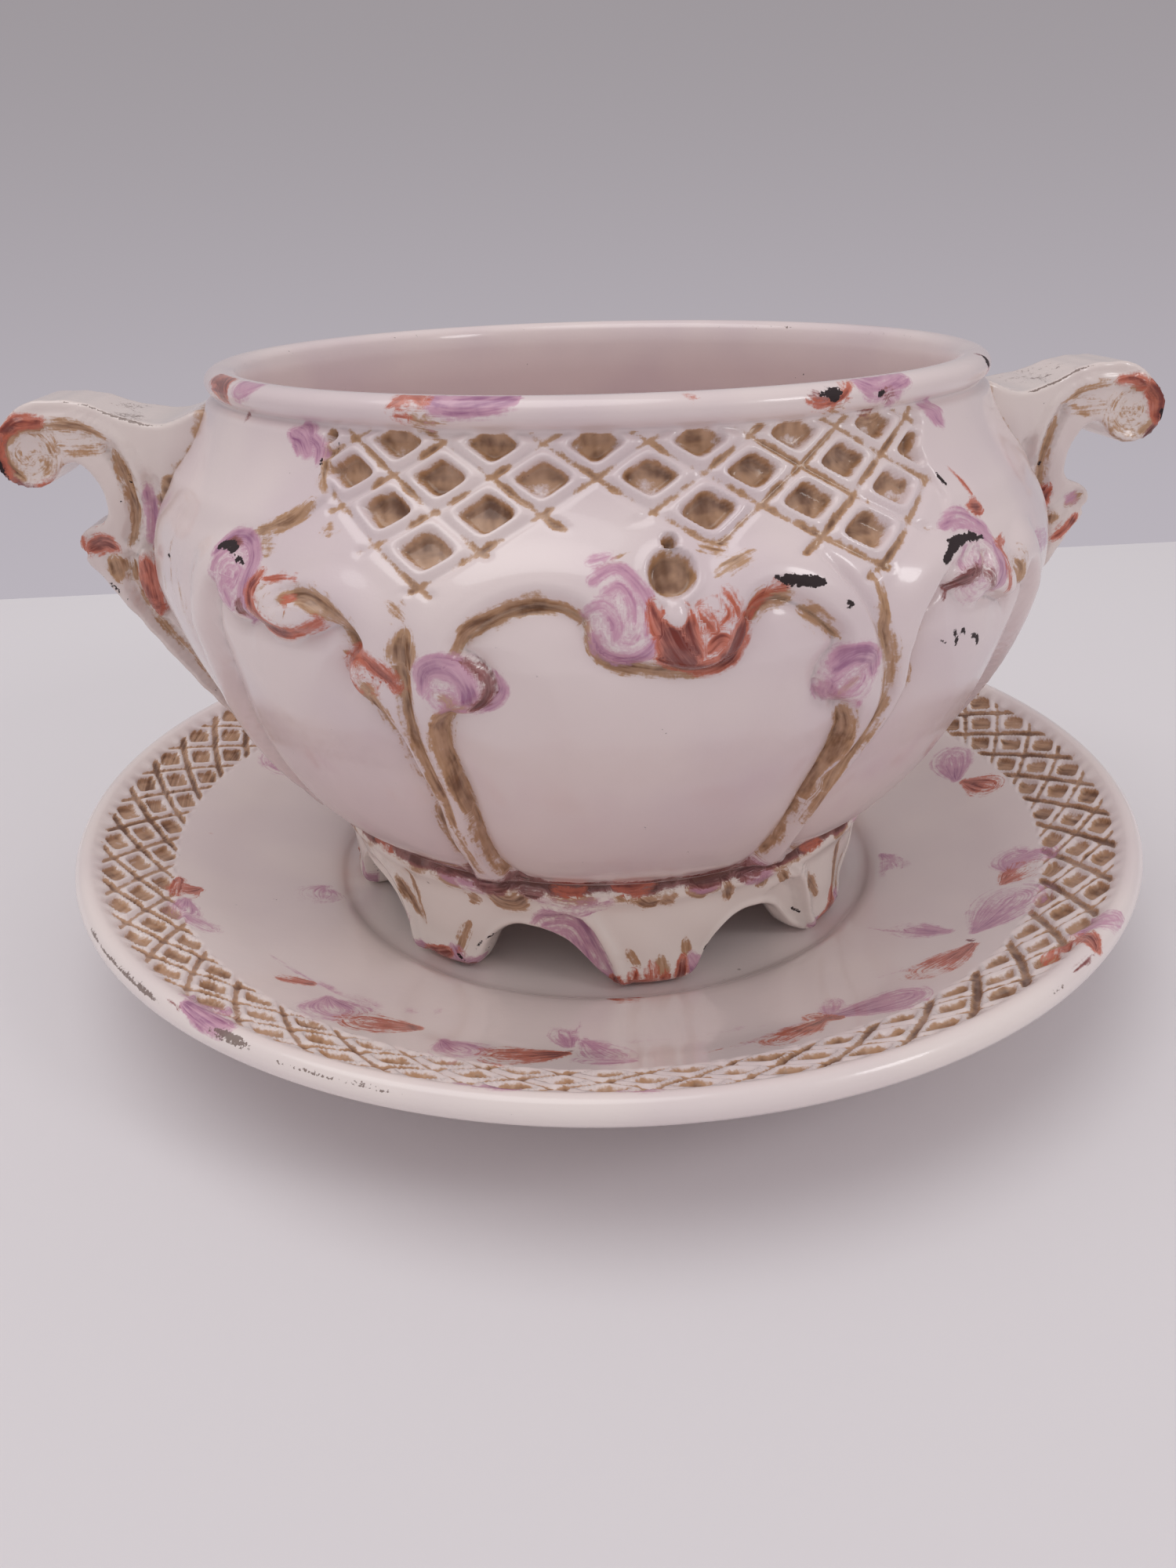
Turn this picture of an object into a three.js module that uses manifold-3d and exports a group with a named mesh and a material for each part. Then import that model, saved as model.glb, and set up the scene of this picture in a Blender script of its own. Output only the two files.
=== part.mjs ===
// Cache pot with saucer: a round glazed earthenware bowl with a sunk trellis band and
// C-scroll cartouches in relief, a scalloped foot ring, two scroll handles, and a deep
// saucer with a sunk well. Millimetres, +Z up, front towards -Y, table at Z = 0.
import * as THREE from 'three';
import { mergeVertices } from 'three/addons/utils/BufferGeometryUtils.js';
import Module from 'manifold-3d';

const wasm = await Module();
wasm.setup();

// Clearances
const seatGap = 0.3; // feet above the saucer's well floor
const luteGap = 0.3; // handle root off the curved bowl wall

// Saucer
const saucerRadius = 143; // widest part of the rolled lip
const saucerWall = 5;
const standingRingHeight = 3;
const standingRingRadius = 76; // outside of the ring that stands on the table
const standingRingWidth = 6;
const wellRadius = 77; // top edge of the sunk well
const wellDepth = 3.5;
const creaseRadius = 104; // soft crease where the flange turns up
const creaseRise = 9; // heights below are above the well floor
const bandInnerRadius = 120;
const bandInnerRise = 16.5;
const bandOuterRadius = 137;
const bandOuterRise = 25.6;
const lipRise = 27.2;
const saucerCells = 48; // diamonds round the saucer's trellis band
const saucerRows = 3; // the outer and inner rows are set half a cell on
const saucerRowPitch = 5.4;
const saucerDiamondWidth = 8.4;
const saucerDiamondDepth = 1.4;

// Foot ring
const footHeight = 32;
const footTopRadius = 75.5;
const footBottomRadius = 68.5;
const footWaist = 1.2; // how far the wall draws in between top and bottom
const footWall = 7;
const footToe = 2; // how far each foot spreads past the ring
const footCount = 8;
const footTurn = 4; // degrees that the ring sits round from the bowl's front
const footWidth = 16; // degrees of ring that stand flat on each foot
const archHeight = 14; // rise of the scallop between two feet

// Bowl, heights above its seat on the foot ring
const baseRadius = 76.5;
const bellyRadius = 109;
const bellyHeight = 64;
const neckRadius = 90.3;
const neckHeight = 102;
const mouthRadius = 85;
const lipRadius = 92.7;
const bowlHeight = 108;
const lipHeight = 6; // height of the rolled lip
const bowlWall = 6.5;
const bowlFloor = 7;
const panelCount = 8;
const panelSwell = 1.6; // how far a panel bulges between its ribs
const lowerSwell = [25.5, 30]; // pull of the lower curve, out and up
const bellyRound = 2; // straight stretch under the belly
const shoulderRound = 20; // straight stretch over the belly
const neckSweep = [6.3, 20]; // pull of the neck curve, out and down
const floorCorner = [7, 3, 9]; // inside corner: in along the floor, up to its bend, up to the wall

// Trellis band of the bowl
const trellisPitch = 11.6; // degrees from diamond to diamond
const trellisRowPitch = 5.9;
const trellisTop = 2.2; // highest row below the neck
const diamondWidth = 10.6;
const diamondHeight = 6.6;
const diamondDepth = 2.2;
const recessRadius = 4.6; // round recess over the front curls
const recessAbove = 16.5; // its centre above the belly

// Mouldings of the bowl. Their courses over half a face are given as degrees from the
// face's middle and millimetres above the belly.
const mouldingHeight = 2.2;
const mouldingRoot = 1.8; // how deep a moulding is bedded in the wall
const archWidth = 5;
const stemWidth = 3.6;
const curlRadius = 4.4; // to the middle of the moulding
const curlPlace = [3.1, 8];
const sideCurlPlace = [40, 7.2];
const curlButton = 2.6; // radius of the button in a curl
const stemButtons = [[20.4, -2.4, 5], [28.5, -2.2, 4]]; // place and radius
const ribFoot = 5 - bellyHeight; // the ribs run out just over the foot ring
const archCourse = [[20.9, 3.5], [18.8, 8.5], [15.6, 12], [11.8, 13.8], [8, 13.6]];
const sideArchCourse = [[28.6, 2.5], [29.6, 7], [32.2, 11], [35.6, 12.6]];
const dividerCourse = [
  [44.4, 6], [43.6, 10.5], [45.6, 14.6], [49, 14.4], [51.4, 8], [52.4, -2], [53, -12],
  [55.5, -24], [59.5, -35], [64, -47], [66.6, ribFoot],
];
const stemCourses = [
  [[22.4, -7], [23.4, -18], [23.3, -34], [23.5, -48], [23.2, ribFoot]],
  [[26.6, 1], [26.2, -12], [25.8, -30], [25.9, -46], [26.3, ribFoot]],
  [[72, -4], [68.2, -16], [66.6, -28], [67.4, -42], [69.4, ribFoot]],
];

// Handle, places from the belly: out from its radius and up from its height
const handleTop = [[-15, 35], [-10, 33], [-4, 32], [4, 33.6], [11, 36.2], [18, 37.4]];
const handleCurl = [26.8, 25.4]; // centre of the rolled end
const handleCurlRadius = 8;
const handleCurlCrest = 3; // how far the strap stands over the rolled end
const handleCurlTurns = [35, 0, -40, -80, -120, -155]; // degrees round the rolled end
const handleGrip = [[17, 23.2], [13.8, 21], [11.7, 16.2], [11.2, 11.4]];
const handleSpur = [[12.8, 8.2], [16, 7], [19.4, 5.1], [20.7, 2], [19.4, -2.2], [15.4, -7.8]];
const handleTail = [[10, -16], [4.6, -24.5], [-3, -36], [-10, -46], [-16, -53], [-22, -58.6], [-28, -62.6]];
const handleHalfWidth = 10.5;
const handleFan = 8; // extra half width where the strap meets the neck
const handleFanOut = [-14, 14]; // the fan grows from here in to here
const handleFanUp = 30;
const handleWaist = 2.5; // what the half width loses below the spur
const handleWaistUp = [-24, 4];
const handleBevel = 2.6;
const handleEdgePoints = 52;

const roundSegments = 48; // flats round the turned pieces
const sliver = 0.02; // edges that a cut leaves shorter than this are closed up
const radians = THREE.MathUtils.degToRad;
const glaze = (color) => new THREE.MeshStandardMaterial({ color, roughness: 0.16, metalness: 0 });

// Bare closed geometry: positions only, vertices nearer than a tolerance merged, and
// the faces that this collapses left out.
function weld(geometry, tolerance = 1e-4) {
  const bare = new THREE.BufferGeometry();
  bare.setAttribute('position', geometry.getAttribute('position'));
  if (geometry.index) bare.setIndex(geometry.index);
  const welded = mergeVertices(bare, tolerance);
  const faces = [];
  for (let i = 0; i < welded.index.count; i += 3) {
    const [a, b, c] = welded.index.array.slice(i, i + 3);
    if (a !== b && b !== c && c !== a) faces.push(a, b, c);
  }
  welded.setIndex(faces);
  return welded;
}

function toSolid(geometry) {
  const welded = weld(geometry);
  return new wasm.Manifold(new wasm.Mesh({
    numProp: 3,
    vertProperties: new Float32Array(welded.getAttribute('position').array),
    triVerts: new Uint32Array(welded.index.array),
  }));
}

function toGeometry(solid) {
  const mesh = solid.getMesh();
  const geometry = new THREE.BufferGeometry();
  geometry.setAttribute('position', new THREE.BufferAttribute(mesh.vertProperties, 3));
  geometry.setIndex(new THREE.BufferAttribute(mesh.triVerts, 1));
  return weld(geometry, sliver);
}

// Rings of equal point counts joined in order; each end is closed by a flat fan.
function loft(rings) {
  const count = rings[0].length;
  const positions = rings.flat().flatMap((point) => [point.x, point.y, point.z]);
  const faces = [];
  for (let ring = 0; ring + 1 < rings.length; ring += 1) {
    for (let side = 0; side < count; side += 1) {
      const a = ring * count + side;
      const b = ring * count + (side + 1) % count;
      faces.push(a, b, b + count, a, b + count, a + count);
    }
  }
  const last = (rings.length - 1) * count;
  for (let side = 1; side + 1 < count; side += 1) {
    faces.push(0, side + 1, side);
    faces.push(last, last + side, last + side + 1);
  }
  const geometry = new THREE.BufferGeometry();
  geometry.setAttribute('position', new THREE.Float32BufferAttribute(positions, 3));
  geometry.setIndex(faces);
  return geometry;
}

// A profile of [radius, height] points turned round the Z axis. The first flat starts
// a quarter of a flat round, so that no relief is centred on an edge.
function turned(profile) {
  const points = profile.map(([radius, height]) => new THREE.Vector2(radius, height));
  const quarterFlat = Math.PI / 2 / roundSegments;
  return new THREE.LatheGeometry(points, roundSegments, quarterFlat).rotateX(Math.PI / 2);
}

// Point at an azimuth in degrees, 0 at the front and positive towards +X.
function around(azimuth, radius, height) {
  const angle = radians(azimuth);
  return new THREE.Vector3(radius * Math.sin(angle), -radius * Math.cos(angle), height);
}

// Bowl surface

const lowerCurve = new THREE.CubicBezierCurve(
  new THREE.Vector2(baseRadius, 0),
  new THREE.Vector2(baseRadius + lowerSwell[0], lowerSwell[1]),
  new THREE.Vector2(bellyRadius, bellyHeight - bellyRound),
  new THREE.Vector2(bellyRadius, bellyHeight),
);
const upperCurve = new THREE.CubicBezierCurve(
  new THREE.Vector2(bellyRadius, bellyHeight),
  new THREE.Vector2(bellyRadius, bellyHeight + shoulderRound),
  new THREE.Vector2(neckRadius + neckSweep[0], neckHeight - neckSweep[1]),
  new THREE.Vector2(neckRadius, neckHeight),
);

// Radius of the round profile at a height, found by halving along the curve.
function profileRadius(height) {
  const curve = height < bellyHeight ? lowerCurve : upperCurve;
  let low = 0;
  let high = 1;
  for (let step = 0; step < 24; step += 1) {
    const middle = (low + high) / 2;
    if (curve.getPoint(middle).y < height) low = middle;
    else high = middle;
  }
  return curve.getPoint(low).x;
}

// The panels swell between their ribs, most of all below the belly.
function panelLift(azimuth, height) {
  const share = THREE.MathUtils.clamp(height / (bellyHeight + shoulderRound / 2), 0, 1);
  const lobe = Math.abs(Math.cos(radians(azimuth) * panelCount / 2)) ** 0.7;
  return panelSwell * lobe * Math.sin(Math.PI * share);
}

function bowlPoint(azimuth, height, lift) {
  const radius = profileRadius(height) + panelLift(azimuth, height) + lift;
  return around(azimuth, radius, height);
}

function bowlNormal(azimuth, height) {
  const step = 0.5;
  const east = bowlPoint(azimuth + step, height, 0).sub(bowlPoint(azimuth - step, height, 0));
  const up = bowlPoint(azimuth, height + step, 0).sub(bowlPoint(azimuth, height - step, 0));
  return east.cross(up).normalize();
}

const heightsBetween = (low, high, count) =>
  Array.from({ length: count + 1 }, (_, i) => low + (high - low) * i / count);

const outerProfile = (lift) => [
  ...lowerCurve.getPoints(5).slice(1, -1),
  ...upperCurve.getPoints(5).slice(0, -1),
].map((point) => [point.x + lift, point.y]);

function lipProfile() {
  const middle = (mouthRadius + lipRadius) / 2;
  const half = (lipRadius - mouthRadius) / 2;
  const centre = bowlHeight - lipHeight / 2;
  return [-60, 0, 45, 90, 135, 180].map((degrees) => [
    middle + half * Math.cos(radians(degrees)),
    centre + (lipHeight / 2) * Math.sin(radians(degrees)),
  ]);
}

// Swells a turned wall into panels, in and out alike so that the wall stays even.
function swellPanels(geometry) {
  const position = geometry.getAttribute('position');
  const point = new THREE.Vector3();
  for (let i = 0; i < position.count; i += 1) {
    point.fromBufferAttribute(position, i);
    const radius = Math.hypot(point.x, point.y);
    if (radius < baseRadius - bowlWall) continue;
    const azimuth = THREE.MathUtils.radToDeg(Math.atan2(point.x, -point.y));
    const scale = 1 + panelLift(azimuth, point.z) / radius;
    position.setXYZ(i, point.x * scale, point.y * scale, point.z);
  }
  return geometry;
}

function bowlShell() {
  const [cornerIn, bendUp, cornerUp] = floorCorner;
  const inner = heightsBetween(neckHeight, bowlFloor + cornerUp, 4)
    .map((height) => [profileRadius(height) - bowlWall, height]);
  const cornerRadius = profileRadius(bowlFloor) - bowlWall;
  return swellPanels(turned([
    [0, 0],
    [baseRadius, 0],
    ...outerProfile(0),
    ...lipProfile(),
    ...inner,
    [cornerRadius - 1, bowlFloor + bendUp],
    [cornerRadius - cornerIn, bowlFloor],
    [0, bowlFloor],
  ]));
}

// The bowl as a solid block, grown by a gap, that trims whatever is luted to it.
function bowlBlock(gap) {
  return swellPanels(turned([
    [0, -gap],
    [baseRadius + gap, -gap],
    ...outerProfile(gap),
    [lipRadius + gap, neckHeight],
    [lipRadius + gap, bowlHeight + gap],
    [0, bowlHeight + gap],
  ]));
}

// Relief on the bowl. Its places are [azimuth in degrees, height above the belly].

// A half-round section carried along a path on the wall; share(t) narrows it.
function moulding(path, width, steps, share = () => 1) {
  const curve = new THREE.CatmullRomCurve3(
    path.map(([azimuth, above]) => new THREE.Vector3(azimuth, above, 0)), false, 'centripetal');
  const section = [[-1, -1], [1, -1], [0.75, 0.6], [0, 1], [-0.75, 0.6]];
  const onWall = (t) => {
    const place = curve.getPoint(THREE.MathUtils.clamp(t, 0, 1));
    return { place, point: bowlPoint(place.x, bellyHeight + place.y, 0) };
  };
  const rings = heightsBetween(0, 1, steps).map((t) => {
    const { place, point } = onWall(t);
    const normal = bowlNormal(place.x, bellyHeight + place.y);
    const along = onWall(t + 0.01).point.sub(onWall(t - 0.01).point).normalize();
    const across = normal.clone().cross(along).normalize();
    return section.map(([side, out]) => point.clone()
      .addScaledVector(across, side * share(t) * width / 2)
      .addScaledVector(normal, out < 0 ? -mouldingRoot : out * share(t) * mouldingHeight));
  });
  return toSolid(loft(rings));
}

// A curl: places on a spiral that closes in on its centre, from a start angle.
function curl([azimuth, above], startDegrees, turnDegrees) {
  const millimetresPerDegree = radians(1) * profileRadius(bellyHeight + above);
  return heightsBetween(0, 1, 5).map((t) => {
    const angle = radians(startDegrees + turnDegrees * t);
    const reach = curlRadius * (1 - 0.35 * t);
    return [azimuth + reach * Math.cos(angle) / millimetresPerDegree, above + reach * Math.sin(angle)];
  });
}

// A button on the wall: a flattened ball bedded to its middle.
function button(azimuth, above, radius) {
  const ball = new THREE.SphereGeometry(radius, 8, 4).scale(1, 1, (mouldingHeight + 0.9) / radius);
  const normal = bowlNormal(azimuth, bellyHeight + above);
  const turn = new THREE.Quaternion().setFromUnitVectors(new THREE.Vector3(0, 0, 1), normal);
  const point = bowlPoint(azimuth, bellyHeight + above, 0);
  return toSolid(ball.applyQuaternion(turn).translate(point.x, point.y, point.z));
}

const narrowing = (t) => 1 - 0.55 * t ** 2;
const bothEnds = (t) => 1 - 0.5 * Math.abs(2 * t - 1) ** 3;

// The relief of one half of a face; side is 1 towards +X and -1 towards -X.
function halfRelief(side, turn) {
  const at = (places) => places.map(([azimuth, above]) => [turn + side * azimuth, above]);
  const buttons = [[...curlPlace, curlButton], [...sideCurlPlace, curlButton], ...stemButtons];
  return [
    moulding(at([...archCourse, ...curl(curlPlace, 70, 200)]), archWidth, 11, narrowing),
    moulding(at([...sideArchCourse, ...curl(sideCurlPlace, 100, -200)]), archWidth, 10, narrowing),
    moulding(at(dividerCourse), archWidth, 12, bothEnds),
    ...stemCourses.map((course) => moulding(at(course), stemWidth, 4, bothEnds)),
    ...buttons.map(([azimuth, above, radius]) => button(turn + side * azimuth, above, radius)),
  ];
}

// A plug that cuts a recess: an outline on the wall, from outside down to its depth,
// with sides that draw in. place(across, up, lift) gives a point in millimetres.
function plug(outline, depth, place) {
  const ring = (share, lift) => outline.map(([across, up]) => place(across * share, up * share, lift));
  return toSolid(loft([ring(0.72, -depth), ring(1.12, depth)]));
}

const diamond = (width, height) => [[width / 2, 0], [0, height / 2], [-width / 2, 0], [0, -height / 2]];

function bowlPlug(outline, azimuth, height, depth) {
  const perMillimetre = 1 / (radians(1) * profileRadius(height));
  return plug(outline, depth, (across, up, lift) =>
    bowlPoint(azimuth + across * perMillimetre, height + up, lift));
}

// Sunk diamonds of one face's trellis: rows from the neck down, by half cells.
function trellisPlugs(turn) {
  const rows = [
    [-5, -3, -1, 1, 3, 5],
    [-6, -4, -2, 0, 2, 4, 6],
    [-5, -3, -1, 1, 3, 5],
    [-4, 4],
  ];
  return rows.flatMap((halfCells, row) => halfCells.map((halfCell) => bowlPlug(
    diamond(diamondWidth, diamondHeight),
    turn + halfCell * trellisPitch / 2,
    neckHeight - trellisTop - row * trellisRowPitch,
    diamondDepth,
  )));
}

function roundPlug(turn) {
  const outline = Array.from({ length: 12 }, (_, i) => {
    const angle = radians(i * 30);
    return [recessRadius * Math.cos(angle), recessRadius * Math.sin(angle)];
  });
  return bowlPlug(outline, turn, bellyHeight + recessAbove, diamondDepth);
}

function potBowl() {
  const raised = [0, 180].flatMap((turn) => [...halfRelief(1, turn), ...halfRelief(-1, turn)]);
  const sunk = [0, 180].flatMap((turn) => [...trellisPlugs(turn), roundPlug(turn)]);
  const wall = raised.reduce((solid, piece) => solid.add(piece), toSolid(bowlShell()));
  return toGeometry(sunk.reduce((solid, piece) => solid.subtract(piece), wall));
}

// Foot ring: a wall whose lower edge rises in a scallop between the feet.
function footRing() {
  const columns = footCount * 8;
  const rings = Array.from({ length: columns }, (_, column) => {
    const azimuth = footTurn + column * 360 / columns;
    const offset = Math.abs(((column * 360 / columns + 180 / footCount) % (360 / footCount)) - 180 / footCount);
    const open = (offset - footWidth / 2) / (180 / footCount - footWidth / 2);
    const arch = archHeight * Math.sin(Math.PI / 2 * THREE.MathUtils.clamp(open, 0, 1)) ** 0.8;
    const toe = footToe * Math.cos(Math.PI / 2 * THREE.MathUtils.clamp(offset / footWidth, 0, 1));
    const outside = (height) => {
      const share = height / footHeight;
      return footBottomRadius + (footTopRadius - footBottomRadius) * share
        - footWaist * Math.sin(Math.PI * share) + toe * (1 - share) ** 3;
    };
    const outer = heightsBetween(arch, footHeight, 3).map((height) => around(azimuth, outside(height), height));
    const inner = heightsBetween(footHeight, arch, 2)
      .map((height) => around(azimuth, outside(height) - footWall, height));
    return [...outer, ...inner];
  });
  const count = rings[0].length;
  const positions = rings.flat().flatMap((point) => [point.x, point.y, point.z]);
  const faces = [];
  for (let column = 0; column < columns; column += 1) {
    for (let side = 0; side < count; side += 1) {
      const next = (side + 1) % count;
      const a = column * count + side;
      const b = column * count + next;
      const c = ((column + 1) % columns) * count + next;
      const d = ((column + 1) % columns) * count + side;
      faces.push(a, d, c, a, c, b);
    }
  }
  const geometry = new THREE.BufferGeometry();
  geometry.setAttribute('position', new THREE.Float32BufferAttribute(positions, 3));
  geometry.setIndex(faces);
  return geometry;
}

// Handle: an S-scroll strap with a rolled end over a leaf spur. Its outline lies in
// the plane through the pot's axis, measured from the belly; the root runs into the
// bowl and is trimmed by it.
function handleOutline() {
  const [curlOut, curlUp] = handleCurl;
  const root = -bellyRadius / 2;
  const onCurl = (degrees) => [
    curlOut + handleCurlRadius * Math.cos(radians(degrees)),
    curlUp + handleCurlRadius * Math.sin(radians(degrees)),
  ];
  const edge = new THREE.SplineCurve([
    ...handleTop,
    [curlOut - 0.5, curlUp + handleCurlRadius + handleCurlCrest],
    ...handleCurlTurns.map(onCurl),
    ...handleGrip,
    ...handleSpur,
    ...handleTail,
  ].map(([out, up]) => new THREE.Vector2(out, up)));
  return new THREE.Shape([
    new THREE.Vector2(root, handleTail.at(-1)[1]),
    new THREE.Vector2(root, handleTop[0][1]),
    ...edge.getSpacedPoints(handleEdgePoints),
  ]);
}

function handleSolid() {
  return new THREE.ExtrudeGeometry(handleOutline(), {
    depth: 2 * (handleHalfWidth - handleBevel),
    curveSegments: 1,
    bevelThickness: handleBevel,
    bevelSize: handleBevel,
    bevelOffset: -handleBevel,
    bevelSegments: 2,
  });
}

function handle() {
  const strap = handleSolid().translate(0, 0, handleBevel - handleHalfWidth).rotateX(Math.PI / 2);
  const position = strap.getAttribute('position');
  for (let i = 0; i < position.count; i += 1) {
    const out = position.getX(i);
    const up = position.getZ(i);
    const towardsWall = THREE.MathUtils.smoothstep(-out, ...handleFanOut);
    const fan = handleFan * towardsWall * THREE.MathUtils.smoothstep(up, 0, handleFanUp);
    const waist = handleWaist * THREE.MathUtils.smoothstep(-up, ...handleWaistUp);
    const scale = (handleHalfWidth + fan - waist) / handleHalfWidth;
    position.setXYZ(i, out + bellyRadius, position.getY(i) * scale, up + bellyHeight);
  }
  return toGeometry(toSolid(strap).subtract(toSolid(bowlBlock(luteGap))));
}

// Saucer

const saucerTop = [
  [wellRadius - 2, 0],
  [wellRadius - 0.6, wellDepth - 0.8],
  [wellRadius + 1.2, wellDepth],
  [creaseRadius, creaseRise],
  [bandInnerRadius, bandInnerRise],
  [bandOuterRadius, bandOuterRise],
];

// Height of the saucer's upper face over the well floor at a radius.
function saucerRise(radius) {
  const next = saucerTop.findIndex(([reach]) => reach > radius);
  const [innerReach, innerRise] = saucerTop[next - 1];
  const [outerReach, outerRise] = saucerTop[next];
  return innerRise + (outerRise - innerRise) * (radius - innerReach) / (outerReach - innerReach);
}

function saucerDish() {
  const floor = standingRingHeight + saucerWall;
  const raise = ([radius, height]) => [radius, height + floor];
  const lip = [
    [bandOuterRadius + 2.6, lipRise],
    [saucerRadius - 1, lipRise - 0.8],
    [saucerRadius, lipRise - 3],
    [saucerRadius - 1.2, lipRise - 5.6],
  ];
  const under = [
    [bandOuterRadius, bandOuterRise - saucerWall - 0.6],
    [bandInnerRadius, bandInnerRise - saucerWall],
    [creaseRadius, creaseRise - saucerWall],
  ];
  return turned([
    [0, standingRingHeight],
    [standingRingRadius - standingRingWidth, standingRingHeight],
    [standingRingRadius - standingRingWidth, 0],
    [standingRingRadius, 0],
    [standingRingRadius + 1, standingRingHeight],
    ...[...lip, ...under].reverse().map(raise),
    ...[...saucerTop].reverse().map(raise),
    [0, floor],
  ]);
}

function saucer() {
  const floor = standingRingHeight + saucerWall;
  const middleRadius = (bandInnerRadius + bandOuterRadius) / 2;
  const cell = 360 / saucerCells;
  const plugs = [];
  for (let row = 0; row < saucerRows; row += 1) {
    const fromMiddle = row - (saucerRows - 1) / 2;
    const radius = middleRadius + fromMiddle * saucerRowPitch;
    const outline = diamond(saucerDiamondWidth, saucerRowPitch * 0.94);
    for (let column = 0; column < saucerCells; column += 1) {
      const azimuth = (column + (fromMiddle % 2 === 0 ? 0.5 : 0)) * cell;
      plugs.push(plug(outline, saucerDiamondDepth, (across, up, lift) => around(
        azimuth - across / (radians(1) * radius), radius + up, floor + saucerRise(radius + up) + lift)));
    }
  }
  return toGeometry(plugs.reduce((solid, piece) => solid.subtract(piece), toSolid(saucerDish())));
}

// Assembly: the saucer on the table, the pot standing in its well.

function part(name, geometry, color) {
  const mesh = new THREE.Mesh(geometry, glaze(color));
  mesh.name = name;
  return mesh;
}

const pot = new THREE.Group();
pot.position.z = standingRingHeight + saucerWall + seatGap;

const bowl = part('pot_bowl', potBowl(), 0xe9e0dc);
bowl.position.z = footHeight;

const foot = part('foot_ring', footRing(), 0xe4d9d2);

const handleRight = part('handle_right', handle(), 0xe6dcd4);
handleRight.position.z = footHeight;

const handleLeft = part('handle_left', handle(), 0xe6dcd4);
handleLeft.position.z = footHeight;
handleLeft.rotation.z = Math.PI;

pot.add(bowl, foot, handleRight, handleLeft);

const model = new THREE.Group();
model.add(part('saucer', saucer(), 0xe8dedb), pot);

export default model;
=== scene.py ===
# Cache pot with saucer: a glazed earthenware bowl with a sunk trellis and scroll
# cartouches, on a scalloped foot, with two scroll handles, in a deep trellised saucer.
import bpy
import math
import numpy as np
from mathutils import Matrix, Vector


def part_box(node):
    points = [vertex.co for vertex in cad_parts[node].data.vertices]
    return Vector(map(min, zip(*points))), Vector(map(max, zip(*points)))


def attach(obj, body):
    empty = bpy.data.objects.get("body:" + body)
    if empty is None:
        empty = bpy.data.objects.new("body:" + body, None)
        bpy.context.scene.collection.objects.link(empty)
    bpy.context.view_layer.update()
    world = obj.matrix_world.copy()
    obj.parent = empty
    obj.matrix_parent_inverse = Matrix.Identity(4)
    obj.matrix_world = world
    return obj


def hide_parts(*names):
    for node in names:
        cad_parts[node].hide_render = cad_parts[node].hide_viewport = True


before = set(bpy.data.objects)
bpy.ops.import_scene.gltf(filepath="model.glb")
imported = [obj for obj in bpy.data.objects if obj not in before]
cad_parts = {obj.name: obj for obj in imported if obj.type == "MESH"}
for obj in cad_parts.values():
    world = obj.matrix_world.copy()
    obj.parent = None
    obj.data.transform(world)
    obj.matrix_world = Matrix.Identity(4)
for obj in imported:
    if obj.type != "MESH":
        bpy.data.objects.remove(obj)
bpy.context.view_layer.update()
scene = bpy.context.scene
millimetre = 0.001

# Places on the pot are in millimetres from its axis and above the feet, which stand
# a hair over the saucer's well; azimuths are degrees from the front, positive to +X.
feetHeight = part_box("foot_ring")[0].z / millimetre
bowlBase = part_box("pot_bowl")[0].z / millimetre - feetHeight
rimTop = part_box("pot_bowl")[1].z / millimetre - feetHeight


# Camera, floor and light

view = {
    "place": (-0.02944, -0.29608, 0.17417),   # metres
    "heading": 4.8,                           # degrees, towards +X
    "down": 25.98,
    "roll": -1.521,
    "lens": 26.09,                            # on a 36 mm long side
    "nearest": 0.01,                          # metres from which it sees
}


# Looks along the heading, tipped down; the roll turns its sides about that line.
def addCamera():
    heading, down, roll = (math.radians(view[key]) for key in ("heading", "down", "roll"))
    level = math.cos(down)
    forward = Vector((math.sin(heading) * level, math.cos(heading) * level, -math.sin(down)))
    right = Vector((math.cos(heading), -math.sin(heading), 0))
    up = right.cross(forward)
    tilted = right * math.cos(roll) + up * math.sin(roll)
    raised = up * math.cos(roll) - right * math.sin(roll)
    camera = bpy.data.objects.new("photoCamera", bpy.data.cameras.new("photoCamera"))
    camera.data.lens = view["lens"]
    camera.data.clip_start = view["nearest"]
    camera.matrix_world = Matrix.Translation(view["place"]) @ Matrix(
        (tilted, raised, -forward)).transposed().to_4x4()
    scene.collection.objects.link(camera)
    scene.camera = camera


studio = {
    "floorColour": (0.77, 0.735, 0.755),
    "floorReach": (-2.5, 2.5, -1.5, 0.336),   # metres: left, right, near and far edge
    "wallLow": (186, 180, 188),               # behind the table, seen by the camera and in the gloss
    "wallHigh": (157, 151, 155),
    "wallTurn": (-0.28, 0.22),                # from low to high, as the sine of the rise
    "fillColour": (0.97, 0.94, 0.96),
    "fillStrength": 0.58,
    "lamps": [                                # name, place, aims at, size, watts
        ("ceiling", (-0.35, -0.1, 1.5), (0, 0, 0.08), 1.4, 7.2),
        ("window", (0.95, -0.75, 0.95), (0, 0, 0.1), 0.36, 1.9),
    ],
}


# One output socket of a material. The operators add Math nodes.
class Wire:
    def __init__(self, finish, socket):
        self.finish = finish
        self.socket = socket

    def maths(self, operation, first, second):
        return self.finish.add("ShaderNodeMath", {"operation": operation}, {0: first, 1: second})

    def __add__(self, other):
        return self.maths("ADD", self, other)

    def __radd__(self, other):
        return self.maths("ADD", other, self)

    def __sub__(self, other):
        return self.maths("SUBTRACT", self, other)

    def __rsub__(self, other):
        return self.maths("SUBTRACT", other, self)

    def __mul__(self, other):
        return self.maths("MULTIPLY", self, other)

    def __rmul__(self, other):
        return self.maths("MULTIPLY", other, self)


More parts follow.
